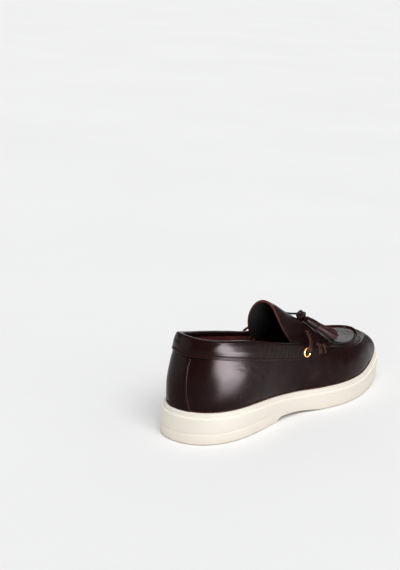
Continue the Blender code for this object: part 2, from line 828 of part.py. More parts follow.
def smooth_route(points, spacing):
    """Points at an even spacing along a smooth curve through a route."""
    points = np.array(points)
    chord = np.concatenate([[0.0], np.cumsum(np.linalg.norm(np.diff(points, axis=0), axis=1))])
    slope = np.gradient(points, chord, axis=0)
    fine = np.linspace(0.0, chord[-1], 400)
    at = np.clip(np.searchsorted(chord, fine, side="right") - 1, 0, len(chord) - 2)
    run = (chord[at + 1] - chord[at])[:, None]
    t = (fine - chord[at])[:, None] / run
    curve = hermite(t, points[at], points[at + 1], slope[at] * run, slope[at + 1] * run)
    arc = np.concatenate([[0.0], np.cumsum(np.linalg.norm(np.diff(curve, axis=0), axis=1))])
    even = np.linspace(0.0, arc[-1], max(3, int(round(arc[-1] / spacing)) + 1))
    return np.stack([np.interp(even, arc, curve[:, k]) for k in range(3)], -1)


def lace_route(side):
    """Out of the eyelet, up over the topline and in to the tongue's side."""
    centre, normal, up = eyelet_place(side)
    face = EYELET_FACE + EYELET_RIM
    slot, away = tongue_place(0.30, 0.72 * side)
    over = top_ring(np.array(theta_of(LACE_OVER) if side < 0 else 2 * PI - theta_of(LACE_OVER)))
    lift = np.array([0.0, 0.0, 1.0])
    out = np.array([0.0, side * 1.0, 0.0])
    ahead = np.array([1.0, 0.0, 0.0])
    return [
        centre - 0.0015 * normal,
        centre + (face - 0.0005) * normal,
        centre + (face + 0.0024) * normal + 0.0016 * up + 0.0004 * ahead,
        centre + (face + 0.0022) * normal + 0.0055 * up + 0.0010 * ahead,
        over + 0.0026 * out + 0.0046 * lift,
        mix(over, slot, 0.5) + 0.0058 * lift + 0.0010 * out,
        slot + (LACE_RADIUS + 0.0022) * away - 0.0016 * lift,
        slot + (LACE_RADIUS + 3 * GAP) * away,
    ]


def build_lace(name, side):
    route = smooth_route(lace_route(side), LACE_RADIUS * 2.0)
    curve = bpy.data.curves.new(name, "CURVE")
    curve.dimensions = "3D"
    curve.bevel_depth = LACE_RADIUS
    curve.bevel_resolution = 2
    curve.use_fill_caps = True
    spline = curve.splines.new("POLY")
    spline.points.add(len(route) - 1)
    for point, place in zip(spline.points, route):
        point.co = (*place, 1.0)
    curve.materials.append(MATERIALS["edge"])
    return link_object(bpy.data.objects.new(name, curve))


def on_instep(plan):
    """A point on top of the tongue or the apron, and the way out of it."""
    throat = float(top_x(THROAT)) - GAP
    if plan[0] > throat:
        def skin(at):
            return np.array([at[0], at[1], float(arch_height(at[0], at[1]))])
    else:
        def skin(at):
            shift = np.array((throat - at[0]) / TONGUE_LENGTH)
            low, high = (tongue_at(shift, np.array(side))[1] for side in (-1.0, 1.0))
            across = 2 * (at[1] - low) / (high - low) - 1
            return tongue_at(shift, np.array(across))
    point = skin(plan)
    step = 0.001
    ahead = skin(plan + np.array([-step, 0.0])) - point
    aside = skin(plan + np.array([0.0, -step])) - point
    normal = np.cross(ahead, aside)
    return point, normal / np.linalg.norm(normal)


def laid(points, name):
    """Lay a straight piece on the instep, resting on its two ends."""
    row = next(row for row in LAID.rows if row[0] == name)
    start, aside, heading = (row[LAID.columns.index(c)] for c in ("start", "aside", "heading"))
    plan = np.array([float(top_x(THROAT)) + start * THROAT_WIDTH, aside * THROAT_WIDTH])
    near, near_out = on_instep(plan)
    length = points[:, 0].max()
    run = length
    for _ in range(5):
        turn = np.array([math.cos(heading), math.sin(heading)])
        far, far_out = on_instep(plan + run * turn)
        run *= length / np.linalg.norm(far - near)
    ahead = (far - near) / np.linalg.norm(far - near)
    side = np.cross(near_out + far_out, ahead)
    side /= np.linalg.norm(side)
    return near + points @ np.stack([ahead, side, np.cross(ahead, side)])


def turned_rings(table, length, radius, height, sides, stops):
    """Rings of a shape turned round its own length."""
    rings = []
    for along in stops:
        r = radius * float(column(table, "radius", along))
        turn = np.arange(sides) * 2 * PI / sides
        rings.append(np.stack([np.full(sides, along * length), r * np.cos(turn),
                               height + r * np.sin(turn)], -1))
    return np.concatenate(rings)


def build_knot():
    sides = 14
    stops = (0.0, 0.06, 0.15, 0.28, 0.48, 0.70, 0.85, 0.95, 1.0)
    points = turned_rings(KNOT, KNOT_LENGTH, KNOT_RADIUS, KNOT_RADIUS + GAP * 2, sides, stops)
    faces = ring_faces(len(stops), sides)
    faces.append(tuple(reversed(range(sides))))
    faces.append(tuple((len(stops) - 1) * sides + i for i in range(sides)))
    return make_object("knot", laid(points, "knot"), faces, "edge", 60.0)


def fringe_rings(strip, seat):
    """Sections of one strip: three points outside and three inside, root first."""
    sections = []
    for stop in (0.0, 0.15, 0.45, 0.75, 1.0):
        half = PI / FRINGE_STRIPS * mix(1.0, 0.80, min(1.0, stop * 3))
        middle = (strip + 0.5) * 2 * PI / FRINGE_STRIPS
        turn = middle + half * np.array([-1.0, 0.0, 1.0])
        wide = mix(TASSEL_RADIUS * 0.98, FRINGE_WIDTH, ease(stop, 0.0, 1.0))
        tall = mix(TASSEL_RADIUS * 0.98, FRINGE_HEIGHT, ease(stop, 0.0, 1.0))
        thick = mix(TASSEL_RADIUS * 0.5, FRINGE_THICKNESS, min(1.0, stop * 4))
        reach = TASSEL_HEAD + FRINGE_LENGTH * stop * (1 - 0.05 * (strip * 3 % 4) * stop)
        rise = seat + (FRINGE_HEIGHT - TASSEL_RADIUS) * stop
        outside = [(reach, wide * math.cos(t), rise + tall * math.sin(t)) for t in turn]
        inside = [(reach, (wide - thick) * math.cos(t), rise + (tall - thick) * math.sin(t))
                  for t in turn[::-1]]
        sections.append(np.array(outside + inside))
    return sections


def build_tassel(name):
    """A turned head whose end face is drawn out into strips all round."""
    seat = TASSEL_RADIUS + GAP * 2
    sides = 2 * FRINGE_STRIPS
    stops = (0.0, 0.03, 0.08, 0.30, 0.55, 0.80, 1.0)
    points = [turned_rings(HEAD, TASSEL_HEAD, TASSEL_RADIUS, seat, sides, stops)]
    faces = [tuple(reversed(range(sides)))] + ring_faces(len(stops), sides)
    rim = (len(stops) - 1) * sides
    core = len(points[0])
    radius = TASSEL_RADIUS * 0.48
    turn = np.arange(sides) * 2 * PI / sides
    points.append(np.stack([np.full(sides, TASSEL_HEAD), radius * np.cos(turn),
                            seat + radius * np.sin(turn)], -1))
    faces.append(tuple(core + i for i in range(sides)))
    count = core + sides
    for strip in range(FRINGE_STRIPS):
        at = [(2 * strip + k) % sides for k in range(3)]
        section = [rim + i for i in at] + [core + i for i in reversed(at)]
        for ring in fringe_rings(strip, seat)[1:]:
            fresh = list(range(count, count + len(ring)))
            faces += [(section[k], section[(k + 1) % 6], fresh[(k + 1) % 6], fresh[k])
                      for k in range(6)]
            points.append(ring)
            section = fresh
            count += len(ring)
        faces += [(section[0], section[1], section[4], section[5]),
                  (section[1], section[2], section[3], section[4])]
    return make_object(name, laid(np.concatenate(points), name), faces, "leather", 60.0)


def make_material(name, colour, roughness, metallic):
    material = bpy.data.materials.new(name)
    material.use_nodes = True
    shader = material.node_tree.nodes["Principled BSDF"]
    shader.inputs["Base Color"].default_value = colour
    shader.inputs["Roughness"].default_value = roughness
    shader.inputs["Metallic"].default_value = metallic
    return material


for old in list(bpy.data.objects):
    bpy.data.objects.remove(old, do_unlink=True)

PARTS = bpy.data.collections.new("tassel_loafer")
CUTTERS = bpy.data.collections.new("cutters")
bpy.context.scene.collection.children.link(PARTS)
bpy.context.scene.collection.children.link(CUTTERS)
MATERIALS = {name: make_material(name, *look) for name, look in COLOURS.items()}

# The frame moves the shoe so that its sole is centred on the origin
FRAME = bpy.data.objects.new("shoe_frame", None)
PARTS.objects.link(FRAME)
EDGE = sole_plan(np.linspace(0, 2 * PI, 720))[:, 1]
FRAME.location.y = -float(EDGE.max() + EDGE.min()) / 2

HALF = half_stations()
ROUND = np.concatenate([HALF, 2 * PI - HALF[-2:0:-1]])

build_sole(ROUND)
build_insole(ROUND)
upper = build_upper(HALF)
build_tongue()
band = build_band(HALF)
build_heel_strip()
cut_eyelet_holes((upper, band))
build_eyelet("eyelet_outer", -1)
build_eyelet("eyelet_inner", 1)
build_lace("lace_outer", -1)
build_lace("lace_inner", 1)
build_knot()
build_tassel("tassel_outer")
build_tassel("tassel_inner")
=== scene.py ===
"""Looks of the tassel loafer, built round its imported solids.

Metres, +Z up. The toe points along +X and the inner side of the foot is +Y.
Sizes, tables and shape functions are those of the part's own source.
"""

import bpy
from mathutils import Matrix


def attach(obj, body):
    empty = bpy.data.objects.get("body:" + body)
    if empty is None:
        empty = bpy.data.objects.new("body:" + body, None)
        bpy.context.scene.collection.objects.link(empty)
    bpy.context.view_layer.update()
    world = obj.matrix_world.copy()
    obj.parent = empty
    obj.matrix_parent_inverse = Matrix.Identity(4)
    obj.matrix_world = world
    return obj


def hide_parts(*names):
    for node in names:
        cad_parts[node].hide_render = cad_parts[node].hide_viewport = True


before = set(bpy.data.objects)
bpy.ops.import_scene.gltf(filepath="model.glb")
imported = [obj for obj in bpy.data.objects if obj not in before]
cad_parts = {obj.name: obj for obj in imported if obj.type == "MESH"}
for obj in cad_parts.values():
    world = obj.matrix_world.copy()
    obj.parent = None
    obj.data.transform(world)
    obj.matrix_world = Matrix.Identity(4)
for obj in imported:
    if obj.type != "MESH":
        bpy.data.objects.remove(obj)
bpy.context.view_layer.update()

import math
from collections import namedtuple

import bmesh
import bpy
import numpy as np
from mathutils import Matrix, Quaternion, Vector

PI = math.pi
GAP = 0.0003

# Sole
SHOE_LENGTH = 0.300
HEEL_WIDTH = 0.078
BALL_WIDTH = 0.1014
HEEL_RIM = 0.0292
BALL_RIM = 0.0209
TOE_RIM = 0.0300
HEEL_SEAT = 0.0200
BALL_SEAT = 0.0125
TOE_SEAT = 0.0175
ARCH_RISE = 0.0036
TOE_SPRING = 0.0078
TREAD_ROUND = 0.0012
RIM_STRIP = 0.0048
RIM_STEP = 0.0015
RIM_WALL = 0.0022
GROOVE_HEIGHT = 0.0100
GROOVE_DEPTH = 0.0005
GROOVE_FADE = (0.22, 0.40)

# Upper
WALL = 0.0022
COLLAR_HEIGHT = 0.0905
THROAT_HEIGHT = 0.0575
TOE_SEAM_HEIGHT = 0.0448
COLLAR_LEAN = 0.0155
TOE_SETBACK = 0.013
THROAT_WIDTH = 0.072
INSTEP_RISE = 0.0190
SIDE_BULGE = 0.0030
SEAM_WIDTH = 0.0032
SEAM_HEIGHT = 0.0020
ARCH_POWER = 1.7

# Insole, tongue, band and heel strip
INSOLE_THICKNESS = 0.0040
INSOLE_SAG = 0.0007
TONGUE_WALL = 0.0020
TONGUE_LENGTH = 0.055
TONGUE_RISE = 0.0302
TONGUE_TUCK = 0.006
TONGUE_POWER = 2.3
BAND_GAP = 0.0004
BAND_THICKNESS = 0.0012
BAND_DEPTH = 0.0180
BAND_INSIDE = 0.011
BAND_ROLL = 0.0021
STRIP_WIDTH = 0.0140
STRIP_THICKNESS = 0.0009

# Eyelets, lace, knot and tassels
EYELET_DROP = 0.0063
EYELET_RADIUS = 0.0048
EYELET_HOLE = 0.0034
EYELET_BARREL = 0.0037
EYELET_RIM = 0.0010
LACE_RADIUS = 0.00145
KNOT_LENGTH = 0.0095
KNOT_RADIUS = 0.0040
TASSEL_HEAD = 0.0165
TASSEL_RADIUS = 0.0042
FRINGE_LENGTH = 0.0230
FRINGE_WIDTH = 0.0075
FRINGE_HEIGHT = 0.0050
FRINGE_THICKNESS = 0.0013

# Places along the rings, as shares of their run from heel to toe
BREAST = 0.350
BREAST_RUN = 0.027
THROAT = 0.598
BAND_END = 0.554
EYELET_ALONG = 0.476
LACE_OVER = 0.492
SLOT_BACK = 0.30
SLOT_ACROSS = 0.72
SIDES = {"outer": -1, "inner": 1}

Table = namedtuple("Table", "columns rows")

# Half widths of the sole, as shares of the width there
OUTLINE = Table(("along", "outer", "inner"), (
    (0.02, 0.25, 0.246), (0.08, 0.43, 0.416), (0.16, 0.502, 0.498), (0.26, 0.494, 0.492),
    (0.36, 0.458, 0.462), (0.46, 0.436, 0.432), (0.56, 0.473, 0.45), (0.66, 0.496, 0.502),
    (0.76, 0.477, 0.518), (0.85, 0.405, 0.464), (0.92, 0.321, 0.365), (0.97, 0.24, 0.242),
    (0.995, 0.105, 0.1)))
OUTLINE_TIP = 0.030

# How much of the heel's, the ball's and the toe's height each place has
HEIGHTS = Table(("along", "heel", "ball", "toe"), (
    (0.0, 1.0, 0.0, 0.0), (0.25, 0.92, 0.0, 0.0), (0.5, 0.3, 0.6, 0.0), (0.75, 0.0, 1.0, 0.0),
    (0.88, 0.0, 0.62, 0.36), (1.0, 0.0, 0.0, 1.0)))

# The tread: shares of the arch's rise and of the toe spring
TREAD = Table(("along", "arch", "spring"), (
    (BREAST, 0.0, 0.0), (BREAST + BREAST_RUN, 1.0, 0.0), (0.43, 0.88, 0.0), (0.5, 0.5, 0.0),
    (0.57, 0.0, 0.0), (0.76, 0.0, 0.0), (0.84, 0.0, 0.12), (0.92, 0.0, 0.42), (1.0, 0.0, 1.0)))

# The topline and the apron seam: half widths as shares of the throat's
# width, and levels: 1 near the collar's top, 0 at the throat, -1 at the toe
TOP = Table(("along", "outer", "inner", "outer_level", "inner_level"), (
    (0.0, 0.0, 0.0, 1.03, 1.03), (0.01, 0.167, 0.167, 1.03, 1.01),
    (0.03, 0.285, 0.285, 1.02, 0.97), (0.06, 0.368, 0.361, 1.0, 0.885),
    (0.12, 0.424, 0.41, 0.945, 0.76), (0.2, 0.451, 0.431, 0.805, 0.63),
    (0.34, 0.458, 0.444, 0.514, 0.39), (0.45, 0.472, 0.458, 0.297, 0.19),
    (0.53, 0.493, 0.479, 0.138, 0.085), (0.61, 0.507, 0.479, 0.0, 0.01),
    (0.68, 0.486, 0.458, -0.32, -0.24), (0.76, 0.465, 0.431, -0.56, -0.48),
    (0.82, 0.417, 0.396, -0.7, -0.64), (0.88, 0.326, 0.347, -0.86, -0.76),
    (0.93, 0.217, 0.312, -0.94, -0.88), (0.97, 0.09, 0.257, -0.99, -0.96),
    (0.99, -0.005, 0.201, -1.0, -0.99), (1.0, -0.1, 0.111, -1.0, -1.0)))

# The side of the upper: how round it is and its share of the bulge
SIDE = Table(("along", "roundness", "bulge"), (
    (0.0, 0.2, 1.0), (0.15, 0.2, 0.9), (0.35, 0.15, 0.55), (0.48, 0.2, 0.45), (0.58, 0.5, 0.45),
    (0.68, 0.75, 0.45), (0.82, 0.9, 0.4), (1.0, 1.0, 0.35)))

# The apron's crown, as shares of the instep's rise
CROWN = Table(("along", "crown"), (
    (0.5, 1.3), (0.605, 1.0), (0.665, 0.66), (0.72, 0.34), (0.77, 0.13), (0.83, 0.07),
    (0.9, 0.06), (1.0, 0.0)))

# The tongue, from the throat back: tuck of its edges and rise of its crest
TONGUE = Table(("back", "tuck", "crest"), (
    (0.0, -0.4, 0.0), (0.2, 0.7, 0.17), (0.5, 1.0, 0.46), (0.8, 0.6, 0.78), (1.05, 0.1, 1.0)))

# The band's depth below the topline, as shares of its depth at the heel
BAND = Table(("along", "depth"), (
    (0.0, 0.98), (0.013, 0.92), (0.052, 0.93), (0.12, 1.0), (0.22, 0.98), (0.334, 0.91),
    (0.447, 0.84), (0.52, 0.8), (0.554, 0.62)))

# The heel strip's width from the rim up, as shares of its width
STRIP = Table(("up", "width"), (
    (0.0, 2.05), (0.15, 1.62), (0.35, 1.25), (0.6, 1.0), (0.8, 0.92), (1.0, 0.98)))

# The raised seam fades out towards the throat
SEAM_FADE = Table(("along", "height"), (
    (0.595, 0.0), (0.62, 1.0), (1.0, 1.0)))

# A tassel's head: radius as shares of its full radius
HEAD = Table(("along", "radius"), (
    (0.0, 0.45), (0.06, 0.78), (0.3, 0.88), (0.8, 1.0), (1.0, 0.98)))

# Where the knot and the tassels lie: from the throat and aside, as shares of
# the throat's width, and their heading to the inner side
LAID = Table(("piece", "start", "aside", "heading"), (
    ("knot", -0.115, -0.050, 0.00),
    ("tassel_outer", -0.140, -0.178, -0.40),
    ("tassel_inner", 0.110, 0.060, 0.28)))

# Camera: place, then yaw, pitch and roll in degrees, focal length in the photo's
# pixels, and the sensor's height in millimetres
CAMERA_PLACE = (-1.0179, -0.7187, 0.4555)
CAMERA_TURN = (38.843, -15.451, 3.471)
CAMERA_FOCAL = 1365.5
CAMERA_SENSOR = 36.0
PHOTO_HEIGHT = 570

# Detail of the upper: its unevenness, its foot and its apron seam
UNEVEN = 0.00012
FOOT_ROLL = 0.0008
FOOT_STITCH_LENGTH = 0.0020
FOOT_STITCH_PITCH = 0.0036
FOOT_THREAD = 0.00034
SEAM_GROOVE = 0.0015
SEAM_GROOVE_WIDTH = 0.0012
SEAM_PUCKER = 0.05
SEAM_STITCH = 0.0034
PLUG_EDGE = 0.90

# Detail of the band and the heel strip, and their stitching
BAND_PUFF = 0.0006
PUFF_RUN = (0.0036, 0.0085)
RIPPLE_FADE = 0.03
BAND_CORNER = 0.0060
BAND_CORNER_LOW = 0.45
BAND_LINED_ROWS = 7
BAND_STITCH_ROWS = (0.0012, 0.0032)
STRIP_STITCH = 0.0014
STITCH_GROOVE = 0.00035
GROOVE_WIDTH = 0.00055
STITCH_LENGTH = 0.0021
STITCH_PITCH = 0.0028
THREAD_RADIUS = 0.00022

# Detail of the tassels: a wrapped head, and layers of strips that shrink inward
HEAD_WRAPS = 6
HEAD_LOWER = 0.06
WAIST = (0.93, 0.05)
WAIST_DEPTH = 0.16
FRINGE_HALF = 0.00115
FRINGE_COUNT = 11
FRINGE_ROOT = 0.92
LAYER_SHRINK = 0.27
LAYER_FEWER = 3

# Detail of the laces, the knot and the free lace, which runs over plan points
LACE_HALF_WIDTH = 0.00185
LACE_HALF_THICK = 0.00085
KNOT_LOOP = 0.0034
KNOT_SKEW = 0.0009
KNOT_START = 0.0030
KNOT_TURNS = 2.2
WRAP_HALF_WIDTH = 0.00125
WRAP_HALF_THICK = 0.00065
TIE_RADIUS = 0.00095
TIE_LIFT = 0.0012
TIE_END = 0.0016
TIE_PLAN = ((0.0118, 0.0175), (0.0130, 0.0125), (0.0148, 0.0070), (0.0172, 0.0016))

# Detail of the whip stitches: their places along, their run down the side and
# over the top, then shares of those runs with the lift there
WHIP_HALF_WIDTH = 0.00115
WHIP_HALF_THICK = 0.00060
WHIP_ALONG = (0.541, 0.557, 0.577)
WHIP_DROP = 0.0085
WHIP_REACH = 0.0042
WHIP_UP = ((1.0, -0.0008), (0.93, 0.0006), (0.6, 0.0009), (0.25, 0.0009))
WHIP_OVER = ((0.0, 0.0030), (0.45, 0.0026), (0.8, 0.0010), (1.0, -0.0012))

# Detail of the tread: its waves, and where its cuts start and end
TREAD_PITCH = 0.0075
TREAD_CUT = 0.0012
TREAD_WAVE = (0.0022, 0.0085)
TREAD_FIELDS = ((0.05, 0.08, 0.29, 0.31), (0.47, 0.50, 0.92, 0.95))
TREAD_ACROSS = (0.04, 0.12, 0.88, 0.96)

# How finely the meshes are made
SOLE_STATIONS = 260
SOLE_COLUMNS = 22
INSOLE_STATIONS = 120
INSOLE_COLUMNS = 24
UPPER_STATIONS = 340
UPPER_STEPS = 50
BAND_STATIONS = 700
PLUG_COLUMNS = 85
TONGUE_ROWS = 60
APRON_ROWS = 130
RIDGE_ROWS = 12
STRIP_COLUMNS = 41
STRIP_ROWS = 48
EYELET_SEGMENTS = 48
HEAD_SIDES = 36
CORD_SIDES = 14
TIE_SIDES = 12
THREAD_SIDES = 6
LACE_STEP = 0.0006
TIE_STEP = 0.0007
WHIP_STEP = 0.0004

# Creases of the sides: start, middle and end as shares along and up the
# wall, then half width and depth
WALL_FOLDS = Table(("side", "along_a", "up_a", "along_b", "up_b", "along_c", "up_c", "width",
                    "depth"), (
    ("outer", 0.09, 0.575, 0.115, 0.585, 0.142, 0.62, 0.0009, 0.0002),
    ("outer", 0.082, 0.64, 0.105, 0.65, 0.135, 0.645, 0.0008, 0.00012),
    ("outer", 0.12, 0.61, 0.14, 0.57, 0.165, 0.56, 0.0009, 0.00014),
    ("outer", 0.185, 0.61, 0.215, 0.52, 0.25, 0.42, 0.0017, 0.00028),
    ("outer", 0.215, 0.64, 0.245, 0.56, 0.28, 0.48, 0.002, 0.00024),
    ("outer", 0.64, 0.3, 0.66, 0.5, 0.69, 0.76, 0.0045, 0.00016),
    ("outer", 0.56, 0.24, 0.59, 0.42, 0.62, 0.64, 0.005, 0.00014),
    ("inner", 0.11, 0.52, 0.14, 0.56, 0.175, 0.6, 0.0014, 0.00024),
    ("inner", 0.62, 0.28, 0.65, 0.48, 0.68, 0.74, 0.0045, 0.00016),
    ("inner", 0.55, 0.24, 0.58, 0.4, 0.61, 0.62, 0.005, 0.00014)))

# Creases of the apron and the tongue: plan points, half width and depth
INSTEP_FOLDS = Table(("x_a", "y_a", "x_b", "y_b", "x_c", "y_c", "width", "depth"), (
    (0.052, -0.024, 0.058, -0.004, 0.05, 0.018, 0.0035, 0.0004),
    (0.068, -0.022, 0.075, -0.002, 0.066, 0.02, 0.004, 0.0004),
    (0.112, -0.012, 0.116, -0.002, 0.114, 0.01, 0.006, 0.0008)))

# Ripples of the band: from and to along the ring, pitch, lean and depth
BAND_RIPPLES = Table(("start", "end", "pitch", "lean", "depth"), (
    (0.0, 0.06, 0.011, 1.4, 0.0001), (0.18, 0.4, 0.0074, 0.15, 0.00007),
    (0.33, 0.52, 0.0057, -0.2, 0.00006)))

# The floor's drop keeps it clear of the tread
FLOOR_DROP = 0.0002
FLOOR_HALF = 40.0
WORLD_COLOUR = (0.95, 0.97, 1.0)
WORLD_STRENGTH = 0.14

# Broad lights without highlights: where from, strength and spread in degrees
SUNS = Table(("name", "come_from", "strength", "spread"), (
    ("sun_key", (-0.35, -0.55, 1.0), 1.9, 50.0),
    ("sun_fill", (0.0, 0.0, 1.0), 1.15, 165.0)))

# Soft boxes that only make highlights
LIGHTS = Table(("name", "place", "aim", "size", "power", "colour", "turn"), (
    ("box_behind", (0.90, 0.65, 0.33), (0.05, 0.0, 0.05), (0.6, 0.4), 1.1,
     (0.98, 0.98, 1.0), 0.0),
    ("box_left", (-0.75, 0.70, 0.28), (-0.14, 0.0, 0.06), (0.9, 0.5), 2.0,
     (1.0, 0.96, 0.96), 0.0),
    ("box_overhead", (0.20, 0.30, 1.20), (0.0, 0.0, 0.0), (0.8, 0.5), 7.6,
     (1.0, 0.97, 0.98), 0.0),
    ("box_side", (-0.095, -0.240, 0.066), (-0.098, 0.0, 0.066), (0.28, 0.13), 7.8,
     (1.0, 0.93, 0.98), -38.0)))


def column(table, name, along):
    """Read a table's column with a monotone cubic through its rows."""
    xs = np.array([row[0] for row in table.rows])
    ys = np.array([row[table.columns.index(name)] for row in table.rows])
    rate = np.diff(ys) / np.diff(xs)
    both = rate[:-1] * rate[1:]
    total = np.where(both > 0, rate[:-1] + rate[1:], 1.0)
    slope = np.concatenate([rate[:1], np.where(both > 0, 2 * both / total, 0), rate[-1:]])
    return cubic(xs, ys, slope, np.clip(along, xs[0], xs[-1]))


def cubic(xs, ys, slope, x):
    """Read a smooth curve through points whose slopes are known."""
    at = np.clip(np.searchsorted(xs, x, side="right") - 1, 0, len(xs) - 2)
    run = xs[at + 1] - xs[at]
    t = (x - xs[at]) / run
    if ys.ndim > 1:
        t, run = t[..., None], run[..., None]
    return ((2 * t ** 3 - 3 * t ** 2 + 1) * ys[at] + (3 * t ** 2 - 2 * t ** 3) * ys[at + 1]
            + (t ** 3 - 2 * t ** 2 + t) * (slope[at] * run)
            + (t ** 3 - t ** 2) * (slope[at + 1] * run))


def mix(a, b, share):
    return a + (b - a) * share


def ease(x, low, high):
    """Go smoothly from 0 at low to 1 at high."""
    t = np.clip((x - low) / (high - low), 0.0, 1.0)
    return t * t * (3 - 2 * t)


def window(x, start, full, fading, end):
    """Rise smoothly to 1 and fall again."""
    return ease(x, start, full) * (1 - ease(x, fading, end))


def bell(x, middle, width):
    """A soft hump of height 1."""
    return np.exp(-((x - middle) / width) ** 2)


def unit(vectors):
    return vectors / np.linalg.norm(vectors, axis=-1, keepdims=True)


def arc_length(points):
    """The length of a line of points up to each of them."""
    return np.concatenate([[0.0], np.cumsum(np.linalg.norm(np.diff(points, axis=0), axis=1))])


def read_along(at, arc, rows):
    """Read rows of three values at places along a line."""
    return np.stack([np.interp(at, arc, rows[:, k]) for k in range(3)], -1)


def along_of(theta):
    return (1 - np.cos(theta)) / 2


def theta_of(along):
    return np.arccos(1 - 2 * np.clip(along, 0.0, 1.0))


def side_theta(along, side):
    """The angle of a place on the outer side (-1) or the inner side (1)."""
    theta = theta_of(along)
    return np.array(theta if side < 0 else 2 * PI - theta)


def closed_curve(knots, values, theta):
    """Smooth closed curve of one value by the angle round the shoe."""
    turn = 2 * PI
    xs = np.concatenate([knots[-2:] - turn, knots, knots[:2] + turn])
    ys = np.concatenate([values[-2:], values, values[:2]])
    return cubic(xs, ys, np.gradient(ys, xs), np.mod(theta, turn))


def sole_plan(theta):
    """The sole's outline before any inset: x and y."""
    rows = np.array(OUTLINE.rows)
    width = mix(HEEL_WIDTH, BALL_WIDTH, ease(rows[:, 0], 0.36, 0.66))
    angles = theta_of(rows[:, 0])
    knots = np.concatenate([[0.0], angles, [PI], 2 * PI - angles[::-1]])
    values = np.concatenate([[0.0], -rows[:, 1] * width, [OUTLINE_TIP * BALL_WIDTH],
                             (rows[:, 2] * width)[::-1]])
    x = SHOE_LENGTH * (along_of(theta) - 0.5)
    return np.stack([x, closed_curve(knots, values, theta)], -1)


def outline(theta, inset):
    """The sole's outline, drawn in along its own normal."""
    step = 0.01
    run = unit(sole_plan(theta + step) - sole_plan(theta - step))
    outward = np.stack([run[..., 1], -run[..., 0]], -1)
    return sole_plan(theta) - np.asarray(inset)[..., None] * outward


def blended_height(along, **heights):
    return sum(column(HEIGHTS, name, along) * height for name, height in heights.items())


def rim_height(along):
    return blended_height(along, heel=HEEL_RIM, ball=BALL_RIM, toe=TOE_RIM)


def seat_height(along):
    return blended_height(along, heel=HEEL_SEAT, ball=BALL_SEAT, toe=TOE_SEAT)


def tread_height(along):
    return (column(TREAD, "arch", along) * ARCH_RISE
            + column(TREAD, "spring", along) * TOE_SPRING)


def top_x(along):
    start = COLLAR_LEAN - SHOE_LENGTH / 2
    return start + (SHOE_LENGTH - COLLAR_LEAN - TOE_SETBACK) * along


def top_along(x):
    run = SHOE_LENGTH - COLLAR_LEAN - TOE_SETBACK
    return (x + SHOE_LENGTH / 2 - COLLAR_LEAN) / run


def level_height(level):
    collar = THROAT_HEIGHT + level * (COLLAR_HEIGHT - THROAT_HEIGHT)
    toe = THROAT_HEIGHT + level * (THROAT_HEIGHT - TOE_SEAM_HEIGHT)
    return np.where(level > 0, collar, toe)


def top_ring(theta):
    """The topline and, in front of the throat, the apron seam: x, y, z."""
    along = along_of(theta)
    rows = np.array(TOP.rows)
    angles = theta_of(rows[:, 0])
    knots = np.concatenate([angles, 2 * PI - angles[-2:0:-1]])
    values = np.concatenate([-rows[:, 1], rows[-2:0:-1, 2]]) * THROAT_WIDTH
    outer = np.mod(theta, 2 * PI) <= PI
    level = np.where(outer, column(TOP, "outer_level", along),
                     column(TOP, "inner_level", along))
    return np.stack([top_x(along), closed_curve(knots, values, theta),
                     level_height(level)], -1)


UPPER_INSET = RIM_STEP + RIM_WALL + GAP
BAND_SURFACE = BAND_GAP + BAND_THICKNESS
EYELET_FACE = BAND_SURFACE + GAP * 1.8
THROAT_X = float(top_x(THROAT)) - GAP


def wall_point(theta, u):
    """The upper's outer skin between the sole's rim (0) and the top ring (1)."""
    theta, u = np.broadcast_arrays(theta, u)
    along = along_of(theta)
    foot = outline(theta, UPPER_INSET)
    head = top_ring(theta)
    roundness = column(SIDE, "roundness", along)
    inward = mix(u, 1 - np.cos(u * PI / 2), roundness)
    upward = mix(u, np.sin(u * PI / 2), roundness)
    outward = unit(foot - outline(theta, UPPER_INSET + 0.001))
    bulge = SIDE_BULGE * column(SIDE, "bulge", along) * np.sin(PI * np.clip(u, 0, 1) ** 0.75)
    plan = mix(foot, head[..., :2], inward[..., None]) + bulge[..., None] * outward
    height = mix(rim_height(along), head[..., 2], upward)
    return np.concatenate([plan, height[..., None]], -1)


def wall_frame(theta, u):
    """Unit vectors of the outer skin: outward normal and up along the wall."""
    step = 0.004
    low, high = np.clip(u - step, 0.0, 1.0), np.clip(u + step, 0.0, 1.0)
    up = unit(wall_point(theta, high) - wall_point(theta, low))
    run = wall_point(theta + step, u) - wall_point(theta - step, u)
    return unit(np.cross(run, up)), up


def wall_offset(theta, u, offset, rise=0.0):
    normal, up = wall_frame(theta, u)
    return (wall_point(theta, u) + np.asarray(offset)[..., None] * normal
            + np.asarray(rise)[..., None] * up)


def wall_share(theta, depth):
    """The wall's coordinate at a depth below the top ring."""
    span = np.linalg.norm(wall_point(theta, 1.0) - wall_point(theta, 0.0), axis=-1)
    return 1 - depth / span


def arch_height(x, y):
    """Height of the apron over the plan, from seam to seam."""
    along = top_along(x)
    outer, inner = (top_ring(side_theta(along, side)) for side in (-1, 1))
    width = np.maximum(inner[..., 1] - outer[..., 1], 1e-4)
    across = np.clip((y - outer[..., 1]) / width, 0.0, 1.0)
    crown = INSTEP_RISE * column(CROWN, "crown", along)
    return (mix(outer[..., 2], inner[..., 2], across)
            + crown * (1 - np.abs(2 * across - 1) ** ARCH_POWER))


def arch_normal(x, y):
    step = 0.0005
    dx = (arch_height(x + step, y) - arch_height(x - step, y)) / (2 * step)
    dy = (arch_height(x, y + step) - arch_height(x, y - step)) / (2 * step)
    return unit(np.stack([-dx, -dy, np.ones_like(dx)], -1))


